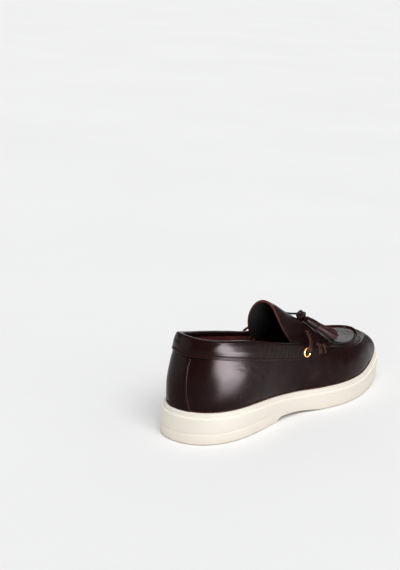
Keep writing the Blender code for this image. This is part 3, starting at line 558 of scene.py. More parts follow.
def strip_theta(u, across):
    """The angle of a point of the heel strip, across from -1 to 1."""
    theta = np.linspace(0.0, 0.8, 120)
    arc = arc_length(wall_point(theta, 0.4)[:, :2])
    half = STRIP_WIDTH / 2 * column(STRIP, "width", u)
    return across * np.interp(half, arc, theta)


def tongue_at(shift, across):
    """The tongue's outer skin: back from the throat, across from -1 to 1."""
    x = THROAT_X - TONGUE_LENGTH * shift
    along = top_along(x)
    lined = BAND_SURFACE + EYELET_RIM + 2 * GAP
    side = WALL + 2 * GAP + lined * ease(shift, 0.05, 0.22)
    outer, inner = (top_ring(side_theta(along, way)) for way in (-1, 1))
    aside = (across + 1) / 2
    y = mix(outer[..., 1] + side, inner[..., 1] - side, aside)
    crest = arch_height(THROAT_X, 0.0) + TONGUE_RISE * column(TONGUE, "crest", shift)
    edge = mix(outer[..., 2], inner[..., 2], aside)
    edge = edge - TONGUE_TUCK * column(TONGUE, "tuck", shift)
    z = edge + (crest - edge) * (1 - np.abs(across) ** TONGUE_POWER)
    z = mix(arch_height(x, y), z, ease(shift, 0.0, 0.12))
    return np.stack([x, y, z], -1)


def tongue_point(back, across):
    """The tongue's outer skin, with its rounded back edge at 1."""
    return tongue_at(back * (1 + 0.10 * across ** 2 - 0.46 * across ** 6), across)


def tongue_place(back, across):
    """A point of the tongue's skin and the way out of it."""
    step = 0.02
    point = tongue_point(np.array(back), np.array(across))
    along = tongue_point(np.array(back - step), np.array(across)) - point
    aside = tongue_point(np.array(back), np.array(across + step)) - point
    return point, unit(np.cross(along, aside))


def tongue_slot(side):
    """Where a lace goes into the tongue, and the way out of it."""
    return tongue_place(SLOT_BACK, SLOT_ACROSS * side)


def grid_normals(points):
    return unit(np.cross(np.gradient(points, axis=0), np.gradient(points, axis=1)))


def eyelet_place(side):
    """Centre on the upper's skin, outward normal and up, for one side."""
    theta = side_theta(EYELET_ALONG, side)
    u = wall_share(theta, EYELET_DROP)
    return wall_point(theta, u), *wall_frame(theta, u)


def smooth_route(points, spacing):
    """Points at an even spacing along a smooth curve through a route."""
    points = np.array(points)
    chord = arc_length(points)
    fine = np.linspace(0.0, chord[-1], 400)
    curve = cubic(chord, points, np.gradient(points, chord, axis=0), fine)
    arc = arc_length(curve)
    even = np.linspace(0.0, arc[-1], max(3, int(round(arc[-1] / spacing)) + 1))
    return read_along(even, arc, curve)


def lace_route(side):
    """Out of the eyelet, up over the topline and in to the tongue's side."""
    centre, normal, up = eyelet_place(side)
    face = EYELET_FACE + EYELET_RIM
    slot, away = tongue_slot(side)
    over = top_ring(side_theta(LACE_OVER, side))
    ahead, out, lift = np.diag([1.0, side, 1.0])
    return [
        centre - 0.0015 * normal,
        centre + (face - 0.0005) * normal,
        centre + (face + 0.0024) * normal + 0.0016 * up + 0.0004 * ahead,
        centre + (face + 0.0022) * normal + 0.0055 * up + 0.0010 * ahead,
        over + 0.0026 * out + 0.0046 * lift,
        mix(over, slot, 0.5) + 0.0058 * lift + 0.0010 * out,
        slot + (LACE_RADIUS + 0.0022) * away - 0.0016 * lift,
        slot + (LACE_RADIUS + 3 * GAP) * away,
    ]


def on_instep(plan):
    """A point on top of the tongue or the apron, and the way out of it."""
    def skin(at):
        if plan[0] > THROAT_X:
            return np.array([at[0], at[1], float(arch_height(at[0], at[1]))])
        shift = np.array((THROAT_X - at[0]) / TONGUE_LENGTH)
        low, high = (tongue_at(shift, np.array(side))[1] for side in (-1.0, 1.0))
        return tongue_at(shift, np.array(2 * (at[1] - low) / (high - low) - 1))
    point = skin(plan)
    step = 0.001
    ahead = skin(plan + np.array([-step, 0.0])) - point
    aside = skin(plan + np.array([0.0, -step])) - point
    return point, unit(np.cross(ahead, aside))


def laid(points, name):
    """Lay a straight piece on the instep, resting on its two ends."""
    start, aside, heading = next(row[1:] for row in LAID.rows if row[0] == name)
    plan = np.array([float(top_x(THROAT)) + start * THROAT_WIDTH, aside * THROAT_WIDTH])
    near, near_out = on_instep(plan)
    turn = np.array([math.cos(heading), math.sin(heading)])
    length = run = points[:, 0].max()
    for _ in range(5):
        far, far_out = on_instep(plan + run * turn)
        run *= length / np.linalg.norm(far - near)
    ahead = unit(far - near)
    side = unit(np.cross(near_out + far_out, ahead))
    return near + points @ np.stack([ahead, side, np.cross(ahead, side)])


def leather_unevenness(points):
    """Gentle waves of the leather, from -1 to 1."""
    x, y, z = (points[..., k] * 1000 for k in range(3))
    return (np.sin(0.11 * x + 0.13 * z + 0.6) * np.sin(0.15 * z - 0.06 * x + 0.09 * y)
            + 0.5 * np.sin(0.17 * x - 0.21 * z + 0.12 * y + 2.1)) / 1.5


def bezier(start, middle, end, count=20):
    t = np.linspace(0.0, 1.0, count)[:, None]
    return (1 - t) ** 2 * start + 2 * t * (1 - t) * middle + t ** 2 * end


def route_distance(points, route):
    """Distance from each point to a route, and the share of the route there."""
    best = np.full(points.shape[:-1], 1.0)
    share = np.zeros(points.shape[:-1])
    steps = len(route) - 1
    for i in range(steps):
        run = route[i + 1] - route[i]
        t = np.clip(((points - route[i]) @ run) / (run @ run), 0.0, 1.0)
        far = np.linalg.norm(points - route[i] - t[..., None] * run, axis=-1)
        closer = far < best
        best = np.where(closer, far, best)
        share = np.where(closer, (i + t) / steps, share)
    return best, share


def fold(points, route, width, depth):
    """A soft trough along a route, between two low ridges."""
    far, share = route_distance(points, route)
    fade = np.sin(PI * np.clip(share, 0.02, 0.98)) ** 0.5
    return depth * fade * (0.55 * bell(far, 1.9 * width, width) - bell(far, 0.0, width))


def wall_folds(points):
    """The creases of the upper's sides, outward."""
    total = np.zeros(points.shape[:-1])
    for side, *places, width, depth in WALL_FOLDS.rows:
        ends = [wall_point(side_theta(along, SIDES[side]), np.array(u))
                for along, u in zip(places[::2], places[1::2])]
        total += fold(points, bezier(*ends), width, depth)
    return total


def instep_folds(points):
    """The creases of the apron and the tongue, outward."""
    total = np.zeros(points.shape[:-1])
    for *places, width, depth in INSTEP_FOLDS.rows:
        ends = [on_instep(np.array(places[k:k + 2]))[0] for k in (0, 2, 4)]
        total += fold(points, bezier(*ends), width, depth)
    return total


def grid_quads(rows, columns, wrap=False):
    row = np.arange(rows - 1)[:, None]
    at = np.arange(columns if wrap else columns - 1)[None, :]
    after = (at + 1) % columns
    quads = np.stack([row * columns + at, (row + 1) * columns + at,
                      (row + 1) * columns + after, row * columns + after], -1)
    return [tuple(q) for q in quads.reshape(-1, 4).tolist()]


def rod_faces(rings, sides):
    """The faces of a rod of rings, closed at both ends."""
    first = tuple(reversed(range(sides)))
    last = tuple((rings - 1) * sides + i for i in range(sides))
    return grid_quads(rings, sides, wrap=True) + [first, last]


def shell(outer, inner, faces):
    """Close two matching skins; looks are 0 outside, 1 inside and 2 at the edges."""
    count = len(outer)
    edges = {(f[i], f[(i + 1) % len(f)]) for f in faces for i in range(len(f))}
    sides = [(b, a, a + count, b + count) for a, b in sorted(edges) if (b, a) not in edges]
    back = [tuple(i + count for i in reversed(f)) for f in faces]
    looks = [0] * len(faces) + [1] * len(back) + [2] * len(sides)
    return np.concatenate([outer, inner]), faces + back + sides, looks


def clear_of_eyelets(points, faces):
    """Leave out the faces that an eyelet's barrel goes through."""
    middles = points[np.array([f[:4] for f in faces])].mean(1)
    keep = np.ones(len(faces), bool)
    for side in SIDES.values():
        centre, normal, _ = eyelet_place(side)
        away = middles - centre
        along = away @ normal
        radial = np.linalg.norm(away - along[:, None] * normal, axis=1)
        keep &= (radial > EYELET_BARREL + GAP) | (np.abs(along) > EYELET_RADIUS * 2)
    return [f for f, kept in zip(faces, keep) if kept]


def grid_shell(skin, under):
    faces = grid_quads(*skin.shape[:2])
    skin = skin.reshape(-1, 3)
    return shell(skin, under.reshape(-1, 3), clear_of_eyelets(skin, faces))


def put(name, data):
    """Add an object to the scene."""
    thing = bpy.data.objects.new(name, data)
    bpy.context.scene.collection.objects.link(thing)
    return thing


def make_piece(name, points, faces, looks, slot, nodes=(), face_looks=None, sharp=None):
    mesh = bpy.data.meshes.new(name)
    mesh.from_pydata((np.asarray(points) + SHIFT).tolist(), [], faces)
    for look in looks:
        mesh.materials.append(LOOKS[look])
    if face_looks is not None:
        mesh.polygons.foreach_set("material_index", np.asarray(face_looks, dtype=np.int32))
    work = bmesh.new()
    work.from_mesh(mesh)
    bmesh.ops.recalc_face_normals(work, faces=work.faces)
    work.to_mesh(mesh)
    work.free()
    mesh.shade_smooth()
    if sharp:
        mesh.set_sharp_from_angle(angle=math.radians(sharp))
    piece = put(name, mesh)
    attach(piece, "root")
    if nodes:
        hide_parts(*nodes)
    return piece


class Bundle:
    """Many small bodies gathered into one mesh."""

    def __init__(self):
        self.points, self.faces, self.looks, self.count = [], [], [], 0

    def add(self, points, faces, looks=None):
        self.points.append(points)
        self.faces += [tuple(i + self.count for i in f) for f in faces]
        self.looks += looks or [0] * len(faces)
        self.count += len(points)

    def piece(self, name, looks, slot, nodes=(), sharp=None, place=None):
        points = np.concatenate(self.points)
        if place is not None:
            points = place(points)
        return make_piece(name, points, self.faces, looks, slot, nodes, self.looks, sharp)


def tube(route, radius, sides):
    """A round tube with rounded ends along a route."""
    run = unit(np.gradient(route, axis=0))
    side = np.cross(run[0], (0.0, 0.0, 1.0) if abs(run[0][2]) < 0.9 else (0.0, 1.0, 0.0))
    across = []
    for ahead in run:
        side = unit(side - (side @ ahead) * ahead)
        across.append(side)
    across = np.array(across)
    up = np.cross(run, across)[:, None]
    turn = (np.arange(sides) * 2 * PI / sides)[:, None]
    ring = radius * (np.cos(turn) * across[:, None] + np.sin(turn) * up)
    first, last = (route[end] + 0.45 * way * radius * run[end] + 0.75 * ring[end]
                   for end, way in ((0, -1), (-1, 1)))
    rings = np.concatenate([first[None], route[:, None] + ring, last[None]])
    return rings.reshape(-1, 3), rod_faces(len(rings), sides)


SECTION = ((1.0, 0.45), (0.80, 1.0), (-0.80, 1.0), (-1.0, 0.45),
           (-1.0, -0.45), (-0.80, -1.0), (0.80, -1.0), (1.0, -0.45))
CUT_SIDES = (0, 2, 3, 7)


def strap(route, out, half_width, half_thick):
    """A flat lace: leather on its faces, a cut edge at its sides and ends."""
    run = unit(np.gradient(route, axis=0))
    out = unit(out - (out * run).sum(1, keepdims=True) * run)
    aside = np.cross(run, out)
    half_width = np.broadcast_to(half_width, len(route))[:, None]
    rings = np.stack([route + a * half_width * aside + b * half_thick * out
                      for a, b in SECTION], 1)
    count = len(SECTION)
    faces = rod_faces(len(route), count)
    looks = [int(k % count in CUT_SIDES) for k in range(len(faces) - 2)]
    return rings.reshape(-1, 3), faces, looks + [1, 1]


def stitches(bundle, line, normals, length, spacing, radius):
    """Thread stitches along a line that lies on a surface."""
    arc = arc_length(line)
    share = np.linspace(0.0, 1.0, 6)
    arch = (radius * (0.6 * np.sin(PI * share) - 0.25))[:, None]
    for i in range(int(arc[-1] / spacing)):
        at = (i + 0.5) * spacing + (share - 0.5) * length
        route = read_along(at, arc, line) + arch * read_along(at, arc, normals)
        bundle.add(*tube(route, radius, THREAD_SIDES))


def ring_round(half):
    return np.concatenate([half, 2 * PI - half[-2:0:-1]])


def sole_ring(theta, inset, height):
    plan = outline(theta, np.broadcast_to(inset, theta.shape))
    return np.concatenate([plan, np.broadcast_to(height, theta.shape)[:, None]], -1)


def rounded(steps):
    """A rounded edge's steps: how far along it and how far from its end."""
    turns = np.radians(np.linspace(0.0, 90.0, steps))
    return [(1 - math.cos(turn), 1 - math.sin(turn)) for turn in turns]


def flat(grid, share):
    """No rise over a cap's grid."""
    return 0.0


def capped(skin, columns, bottom, top):
    """Close stacked rings with a grid from side to side at both ends."""
    levels, count = skin.shape[:2]
    half = count // 2
    faces = grid_quads(levels, count, wrap=True)
    points = [skin.reshape(-1, 3)]
    total = len(points[0])
    share = np.linspace(0.0, 1.0, columns + 2)[1:-1]
    for first, ring, rise in ((0, skin[0], bottom), ((levels - 1) * count, skin[-1], top)):
        grid = mix(ring[1:half, None], ring[-1:half:-1, None], share[None, :, None])
        grid[..., 2] += rise(grid, share)
        points.append(grid.reshape(-1, 3))
        ids = total + np.arange(grid.shape[0] * columns).reshape(-1, columns)
        sides = first + np.arange(1, half)[:, None], first + count - np.arange(1, half)[:, None]
        ids = np.concatenate([sides[0], ids, sides[1]], 1)
        quads = np.stack([ids[:-1, :-1], ids[1:, :-1], ids[1:, 1:], ids[:-1, 1:]], -1)
        faces += [tuple(quad) for quad in quads.reshape(-1, 4).tolist()]
        for tip, row in ((first, ids[0].tolist()), (first + half, ids[-1, ::-1].tolist())):
            faces += [(tip, a, b) for a, b in zip(row, row[1:])]
        total += grid.shape[0] * columns
    return np.concatenate(points), faces


def build_sole():
    """Rings from the tread up over the groove, the strip, the rim and the seat."""
    theta = ring_round(np.linspace(0.0, PI, SOLE_STATIONS + 1))
    along = along_of(theta)
    tread = tread_height(along)
    rim = rim_height(along)
    strip = rim - RIM_STRIP
    groove = GROOVE_DEPTH * (1 - ease(along, *GROOVE_FADE))
    low, high, edge = RIM_STEP * 0.45, RIM_STEP * 0.3, RIM_WALL * 0.36
    rings = [(TREAD_ROUND * b, tread + TREAD_ROUND * a) for a, b in rounded(5)]
    for share in (-1.6, -1.0, -0.55, -0.25, 0.0, 0.25, 0.55, 1.0, 1.6):
        height = np.maximum(GROOVE_HEIGHT + GROOVE_DEPTH * share, tread + TREAD_ROUND)
        rings.append((groove * bell(share, 0.0, 0.55), height))
    rings += [(0.0, mix(GROOVE_HEIGHT + 1.6 * GROOVE_DEPTH, strip - RIM_STEP * 0.5, share))
              for share in (0.33, 0.66)]
    rings += [(low * a, strip - low * b) for a, b in rounded(5)]
    rings += [(RIM_STEP - high * b, strip + high * a) for a, b in rounded(4)]
    rings.append((RIM_STEP, mix(strip, rim, 0.5)))
    rings += [(RIM_STEP + edge * a, rim - edge * b) for a, b in rounded(5)]
    rings += [(RIM_STEP + RIM_WALL, height) for height in (rim, seat_height(along))]
    skin = np.stack([sole_ring(theta, inset, height) for inset, height in rings])
    points, faces = capped(skin, SOLE_COLUMNS, tread_pattern, flat)
    return make_piece("sole_rubber", points, faces, ["rubber"], "rubber", ["sole"], sharp=48)


def tread_pattern(grid, share):
    """Shallow wavy cuts across the heel and the forefoot."""
    x, y = grid[..., 0], grid[..., 1]
    along = x / SHOE_LENGTH + 0.5
    height, length = TREAD_WAVE
    wave = np.sin((x + height * np.sin(y / length)) * 2 * PI / TREAD_PITCH)
    cut = ease(wave, 0.55, 0.85)
    fields = sum(window(along, *field) for field in TREAD_FIELDS)
    return TREAD_CUT * cut * fields * window(share, *TREAD_ACROSS)[None, :]


def insole_sag(grid, share):
    """The footbed's hollow across the shoe."""
    return -INSOLE_SAG * np.sin(PI * share) ** 0.5


def build_insole():
    theta = ring_round(np.linspace(0.0, PI, INSOLE_STATIONS + 1))
    inset = UPPER_INSET + WALL + GAP
    base = seat_height(along_of(theta)) + GAP
    edge = INSOLE_THICKNESS * 0.3
    skin = np.stack([sole_ring(theta, inset, base)]
                    + [sole_ring(theta, inset + edge * a, base + INSOLE_THICKNESS - edge * b)
                       for a, b in rounded(5)])
    points, faces = capped(skin, INSOLE_COLUMNS, flat, insole_sag)
    return make_piece("insole_sock", points, faces, ["lining"], "insole", ["insole"], sharp=50)


def seam_frame(theta):
    """The apron seam: plan points and the way in from it."""
    step = 0.004
    run = unit(top_ring(theta + step)[:, :2] - top_ring(theta - step)[:, :2])
    return top_ring(theta)[:, :2], np.stack([-run[:, 1], run[:, 0]], -1)


def ridge_point(theta, share, lift):
    """A point over the raised apron seam, as shares of its width and height."""
    base, inward = seam_frame(theta)
    plan = base + SEAM_WIDTH * share * inward
    rise = SEAM_HEIGHT * lift * column(SEAM_FADE, "height", along_of(theta))
    return np.column_stack([plan, arch_height(plan[:, 0], plan[:, 1]) + rise])


def build_upper():
    """The wall from its foot to the top, then the apron's raised seam."""
    half = np.sort(np.append(np.linspace(0.0, PI, UPPER_STATIONS + 1), theta_of(THROAT)))
    theta = ring_round(half)
    count = len(theta)
    throat = int(np.argmin(np.abs(half - theta_of(THROAT))))
    foot_z = seat_height(along_of(theta)) + GAP
    u = 1 - (1 - np.linspace(0.0, 1.0, UPPER_STEPS + 1)[:, None]) ** 1.25
    wall = wall_point(theta[None, :], u)
    normal, _ = wall_frame(theta[None, :] + 0 * u, u + 0 * theta[None, :])
    fade = window(u, 0.0, 0.10, 0.86, 1.0)
    move = wall_folds(wall) + UNEVEN * leather_unevenness(wall)
    roll = -FOOT_ROLL * bell(u, 0.0, 0.05)
    down = (1 - u) * np.linalg.norm(wall[-1] - wall[0], axis=-1)
    groove = bell(down, SEAM_GROOVE_WIDTH, SEAM_GROOVE_WIDTH) * ease(down, 0.0, 0.0006)
    roll = roll - SEAM_GROOVE * groove * column(SEAM_FADE, "height", along_of(theta))
    outer = wall + (move * fade + roll)[..., None] * normal
    inner = wall - WALL * normal
    level = unit(normal[0] * (1, 1, 0))
    feet = np.stack([np.column_stack([wall[0, :, :2], height]) - FOOT_ROLL * level
                     for height in (foot_z, mix(foot_z, wall[0, :, 2], 0.7))])
    outer = np.concatenate([feet, outer])
    inner = np.concatenate([feet - (WALL - FOOT_ROLL) * level, inner])
    front = np.arange(throat, count - throat + 1)
    top = wall[-1, front]
    wall_n = normal[-1, front]
    corner = unit(wall_n + arch_normal(top[:, 0], top[:, 1]))
    reach = WALL / np.maximum((corner * wall_n).sum(1, keepdims=True), 0.6)
    inner[-1, front] = top - reach * corner
    faces = [tuple(reversed(f)) for f in grid_quads(len(outer), count, wrap=True)]
    points, backs = [outer.reshape(-1, 3)], [inner.reshape(-1, 3)]
    previous = (len(outer) - 1) * count + front
    start = len(points[0])
    arc = arc_length(top_ring(theta[front]))
    pucker = 1 + SEAM_PUCKER * np.cos(arc * 2 * PI / SEAM_STITCH)
    for share in np.linspace(0.0, 1.0, RIDGE_ROWS + 1)[1:]:
        lift = math.sin(PI * share) ** 0.7 if share < 1 else 0.0
        points.append(ridge_point(theta[front], share, lift * pucker))
        under = ridge_point(theta[front], share, 0.0)
        backs.append(under - WALL * arch_normal(under[:, 0], under[:, 1]))
        ids = start + np.arange(len(front))
        quads = np.stack([previous[:-1], previous[1:], ids[1:], ids[:-1]], -1)
        faces += [tuple(quad) for quad in quads.tolist()]
        previous = ids
        start += len(front)
    skin, back = np.concatenate(points), np.concatenate(backs)
    points, faces, looks = shell(skin, back, clear_of_eyelets(skin, faces))
    return make_piece("upper_leather", points, faces, ["leather", "lining", "edge"],
                      "upper_leather", ["upper"], looks, sharp=70)


def plug_rows():
    """Rows of the tongue and the apron, from the tongue's back edge to the toe."""
    across = np.linspace(-1.0, 1.0, PLUG_COLUMNS)[None, :]
    back = np.linspace(1.0, 0.03, TONGUE_ROWS)[:, None]
    tongue = tongue_point(*np.broadcast_arrays(back, across))
    theta = np.linspace(float(theta_of(THROAT + 0.004)), PI - 0.02, APRON_ROWS)
    edges = []
    for side in (theta, 2 * PI - theta):
        base, inward = seam_frame(side)
        edges.append((base + SEAM_WIDTH * PLUG_EDGE * inward)[:, None])
    plan = mix(*edges, ((across + 1) / 2)[..., None])
    apron = np.concatenate([plan, arch_height(plan[..., 0], plan[..., 1])[..., None]], -1)
    return np.concatenate([tongue, apron])


def build_plug():
    skin = plug_rows()
    normal = grid_normals(skin)
    rows = np.arange(skin.shape[0]) / skin.shape[0]
    share = np.linspace(0.0, 1.0, skin.shape[1])
    fade = window(share, 0.0, 0.10, 0.90, 1.0) * window(rows, 0.0, 0.05, 0.93, 1.0)[:, None]
    move = (instep_folds(skin) + UNEVEN * leather_unevenness(skin)) * fade
    edge = np.minimum(np.linalg.norm(skin - skin[:, :1], axis=-1),
                      np.linalg.norm(skin - skin[:, -1:], axis=-1))
    groove = bell(edge, SEAM_GROOVE_WIDTH, SEAM_GROOVE_WIDTH)
    move = move - SEAM_GROOVE * groove * ease(skin[..., 0], 0.030, 0.040)
    under = skin - TONGUE_WALL * normal
    points, faces, looks = grid_shell(skin + move[..., None] * normal, under)
    return make_piece("tongue_and_apron", points, faces, ["leather", "tongue_back", "edge"],
                      "tongue_leather", ["tongue"], looks, sharp=60)


def band_low(theta):
    """The band's lower edge: its depth, with a rounded front corner."""
    along = along_of(theta)
    depth = BAND_DEPTH * column(BAND, "depth", along)
    ahead = (top_x(BAND_END) - top_x(along)) / BAND_CORNER
    round_in = np.sqrt(np.clip(1 - (1 - np.clip(ahead, 0.0, 1.0)) ** 2, 0.0, 1.0))
    return depth * mix(BAND_CORNER_LOW, 1.0, round_in)


def band_surface(theta, share):
    """The band's outer face from its lower edge (0) to the topline (1)."""
    along = along_of(theta)
    depth = band_low(theta)
    u = mix(wall_share(theta, depth), 1.0, share)
    up = depth * share
    puff = BAND_PUFF * ease(up, *PUFF_RUN) * (1 - 0.3 * ease(share, 0.8, 1.0))
    groove = STITCH_GROOVE * sum(bell(up, row, GROOVE_WIDTH) for row in BAND_STITCH_ROWS)
    edge = BAND_THICKNESS * 0.75 * (1 - ease(up, 0.0, 0.0007))
    ripple = 0.0
    for start, end, pitch, lean, height in BAND_RIPPLES.rows:
        fade = window(along, start, start + RIPPLE_FADE, end - RIPPLE_FADE, end)
        phase = (top_x(along) + lean * (depth - up)) * 2 * PI / pitch
        ripple = ripple + height * fade * (np.sin(phase) + 0.4 * np.sin(1.63 * phase + 1.1))
    ripple = ripple * ease(up, 0.0015, 0.005) * (1 - 0.7 * ease(share, 0.75, 1.0))
    return u, BAND_SURFACE + puff - groove - edge + ripple


def build_band():
    """Up the outside, over the topline, and down the inside, which is lined."""
    end = float(theta_of(BAND_END))
    theta = np.linspace(-end, end, BAND_STATIONS)
    skin, under = [], []
    for share in np.concatenate([np.linspace(0.0, 0.35, 15), np.linspace(0.35, 1.0, 14)[1:]]):
        u, proud = band_surface(theta, share)
        skin.append(wall_offset(theta, u, proud))
        under.append(wall_offset(theta, u, BAND_GAP))
    middle = -WALL / 2
    reach = WALL / 2 + BAND_SURFACE
    close = WALL / 2 + BAND_GAP
    top_proud = proud - BAND_SURFACE
    for turn in np.radians(np.linspace(12, 168, 14)):
        swell = top_proud * max(math.cos(turn), 0.0)
        skin.append(wall_offset(theta, 1.0, middle + reach * math.cos(turn) + swell,
                                BAND_ROLL * math.sin(turn)))
        under.append(wall_offset(theta, 1.0, middle + close * math.cos(turn), BAND_GAP))
    inside = wall_share(theta, BAND_INSIDE * column(BAND, "depth", along_of(theta)))
    for share in np.linspace(1.0, 0.0, 9):
        u = mix(inside, 1.0, share)
        skin.append(wall_offset(theta, u, middle - reach))
        under.append(wall_offset(theta, u, middle - close))
    lined = len(skin) - BAND_LINED_ROWS
    skin, under = np.stack(skin, 1), np.stack(under, 1)
    points, faces, looks = grid_shell(skin, under)
    rows = skin.shape[1]
    outer = skin.shape[0] * rows
    for k, face in enumerate(faces):
        if max(face) < outer and min(v % rows for v in face) >= lined:
            looks[k] = 1
    return make_piece("collar_band_leather", points, faces, ["leather", "lining", "edge"],
                      "band_leather", ["collar_band"], looks, sharp=60)


def build_band_stitches():
    end = float(theta_of(BAND_END)) - 0.012
    theta = np.linspace(-end, end, 900)
    bundle = Bundle()
    for row in BAND_STITCH_ROWS:
        share = row / band_low(theta)
        u, proud = band_surface(theta, share)
        normal, _ = wall_frame(theta, u)
        line = wall_offset(theta, u, proud)
        stitches(bundle, line, normal, STITCH_LENGTH, STITCH_PITCH, THREAD_RADIUS)
    return bundle.piece("collar_band_stitches", ["thread"], "band_leather")


def strip_surface(across, share):
    """The heel strip's outer face from the rim (0) up to the band (1)."""
    low = GAP / (COLLAR_HEIGHT - HEEL_RIM)
    theta = strip_theta(share, across)
    u = mix(low, wall_share(theta, BAND_DEPTH + 2 * GAP), share)
    from_edge = STRIP_WIDTH / 2 * column(STRIP, "width", share) * (1 - np.abs(across))
    proud = GAP + STRIP_THICKNESS * (0.25 + 0.75 * ease(from_edge, 0.0, 0.0008))
    return theta, u, proud - 0.8 * STITCH_GROOVE * bell(from_edge, STRIP_STITCH, GROOVE_WIDTH)


def build_heel_strip():
    share = np.linspace(0.0, 1.0, STRIP_ROWS)
    across = np.linspace(-1.0, 1.0, STRIP_COLUMNS)
    across = np.sign(across) * (1 - (1 - np.abs(across)) ** 1.4)
    theta, u, proud = strip_surface(across[:, None], share[None, :])
    points, faces, looks = grid_shell(wall_offset(theta, u, proud),
                                      wall_offset(theta, u, GAP * 0.6))
    border = 2 * (len(share) - 1)
    front = (len(across) - 1) * (len(share) - 1)
    looks[:border] = [2] * border
    looks[front - border:front] = [2] * border
    make_piece("heel_strip_leather", points, faces, ["leather", "lining", "thread"],
               "strip_leather", ["heel_strip"], looks, sharp=60)
    bundle = Bundle()
    share = np.linspace(0.02, 0.99, 160)
    across = 1 - STRIP_STITCH / (STRIP_WIDTH / 2 * column(STRIP, "width", share))
    for side in SIDES.values():
        theta, u, proud = strip_surface(side * across, share)
        stitches(bundle, wall_offset(theta, u, proud), wall_frame(theta, u)[0],
                 STITCH_LENGTH, STITCH_PITCH, THREAD_RADIUS)
    return bundle.piece("heel_strip_stitches", ["thread"], "strip_leather")


def lathe(profile, segments):
    """Turn a closed profile of radius and height round the Z axis."""
    profile = np.array(profile)
    turn = np.arange(segments) * 2 * PI / segments
    rings = np.stack([profile[:, None, 0] * np.cos(turn), profile[:, None, 0] * np.sin(turn),
                      profile[:, None, 1] + 0 * turn], -1)
    count = len(profile)
    faces = [(r * segments + i, r * segments + (i + 1) % segments,
              (r + 1) % count * segments + (i + 1) % segments, (r + 1) % count * segments + i)
             for r in range(count) for i in range(segments)]
    return rings.reshape(-1, 3), faces


def build_eyelet(label, side):
    centre, normal, up = eyelet_place(side)
    back = -(WALL + EYELET_FACE)
    middle, reach = (EYELET_RADIUS + EYELET_HOLE) / 2, (EYELET_RADIUS - EYELET_HOLE) / 2
    profile = [(EYELET_BARREL, back), (EYELET_BARREL, EYELET_FACE)]
    for turn in np.radians(np.linspace(0.0, 180.0, 14)):
        profile.append((middle + reach * math.cos(turn),
                        EYELET_FACE + EYELET_RIM * math.sin(turn) ** 0.8))
    profile += [(EYELET_HOLE, back - EYELET_RIM * 0.5),
                (EYELET_HOLE * 1.3, back - EYELET_RIM * 0.75),
                (EYELET_RADIUS * 0.74, back - EYELET_RIM * 0.75),
                (EYELET_RADIUS * 0.82, back - EYELET_RIM * 0.3), (EYELET_RADIUS * 0.82, back)]
    points, faces = lathe(profile, EYELET_SEGMENTS)
    points = centre + points @ np.stack([np.cross(up, normal), up, normal])
    return make_piece("eyelet_brass_" + label, points, faces, ["brass"], "brass",
                      ["eyelet_" + label], sharp=50)


def build_lace(label, side):
    centre, normal, up = eyelet_place(side)
    depth = WALL + 2 * BAND_SURFACE
    lead = [centre - (depth + 0.0030) * normal - 0.0060 * up + np.array([-0.0020, 0.0, 0.0]),
            centre - (depth + 0.0022) * normal - 0.0025 * up]
    route = smooth_route(lead + lace_route(side), LACE_STEP)
    route = np.concatenate([route, [route[-1] - 0.0012 * tongue_slot(side)[1]]])
    out = route - (centre - 0.004 * normal - 0.002 * up)
    narrow = ease(np.linalg.norm(route - centre, axis=1), 0.0015, 0.0060)
    points, faces, looks = strap(route, out, LACE_HALF_WIDTH * mix(0.92, 1.0, narrow),
                                 LACE_HALF_THICK)
    return make_piece("lace_leather_" + label, points, faces, ["lace", "edge"],
                      "lace_leather", ["lace_" + label], looks, sharp=50)


def build_knot():
    """A round loop, and wraps round the knot's own length behind it."""
    bundle = Bundle()
    thick = LACE_RADIUS * 0.92
    centre = KNOT_RADIUS + 2 * GAP
    wind = KNOT_RADIUS - thick
    angle = np.linspace(0.0, 2 * PI, 64) + 0.4
    loop = np.stack([KNOT_LOOP + wind * 1.05 * np.cos(angle), KNOT_SKEW * np.sin(2 * angle),
                     centre + 0.0004 + wind * 1.05 * np.sin(angle)], -1)
    bundle.add(*tube(loop, thick, CORD_SIDES))
    t = np.linspace(0.0, 1.0, 110)
    angle = 0.8 + KNOT_TURNS * 2 * PI * t
    out = np.stack([0 * t, np.cos(angle), np.sin(angle)], -1)
    middle = np.stack([KNOT_LENGTH * mix(0.50, 1.00, t), 0 * t, 0 * t + centre], -1)
    bundle.add(*strap(middle + (KNOT_RADIUS - WRAP_HALF_THICK) * out, out,
                      WRAP_HALF_WIDTH, WRAP_HALF_THICK))
    core = np.stack([np.linspace(KNOT_START, KNOT_LENGTH + 0.0012, 12), np.zeros(12),
                     np.full(12, centre)], -1)
    bundle.add(*tube(core, wind * 0.95, CORD_SIDES))
    return bundle.piece("tassel_knot", ["lace", "edge"], "lace_leather", ["knot"],
                        sharp=50, place=lambda points: laid(points, "knot"))


def build_tie(knot):
    """The free lace from the tongue's inner slot over its crest to the knot."""
    slot, away = tongue_slot(1)
    ends = laid(np.array([[0.0, 0.0, KNOT_RADIUS], [TIE_END, 0.0, KNOT_RADIUS],
                          [KNOT_LENGTH, 0.0, KNOT_RADIUS]]), "knot")
    route = [slot - 0.0004 * away, slot + 0.0022 * away + np.array([-0.0012, 0.0, 0.0006])]
    for plan in TIE_PLAN:
        point, normal = on_instep(np.array(plan))
        route.append(point + (TIE_RADIUS + TIE_LIFT) * normal)
    route = smooth_route(route + [ends[0], ends[1]], TIE_STEP)
    tie = make_piece("tie_lace", *tube(route, TIE_RADIUS, TIE_SIDES), ["leather"], "lace_leather")
    return tie


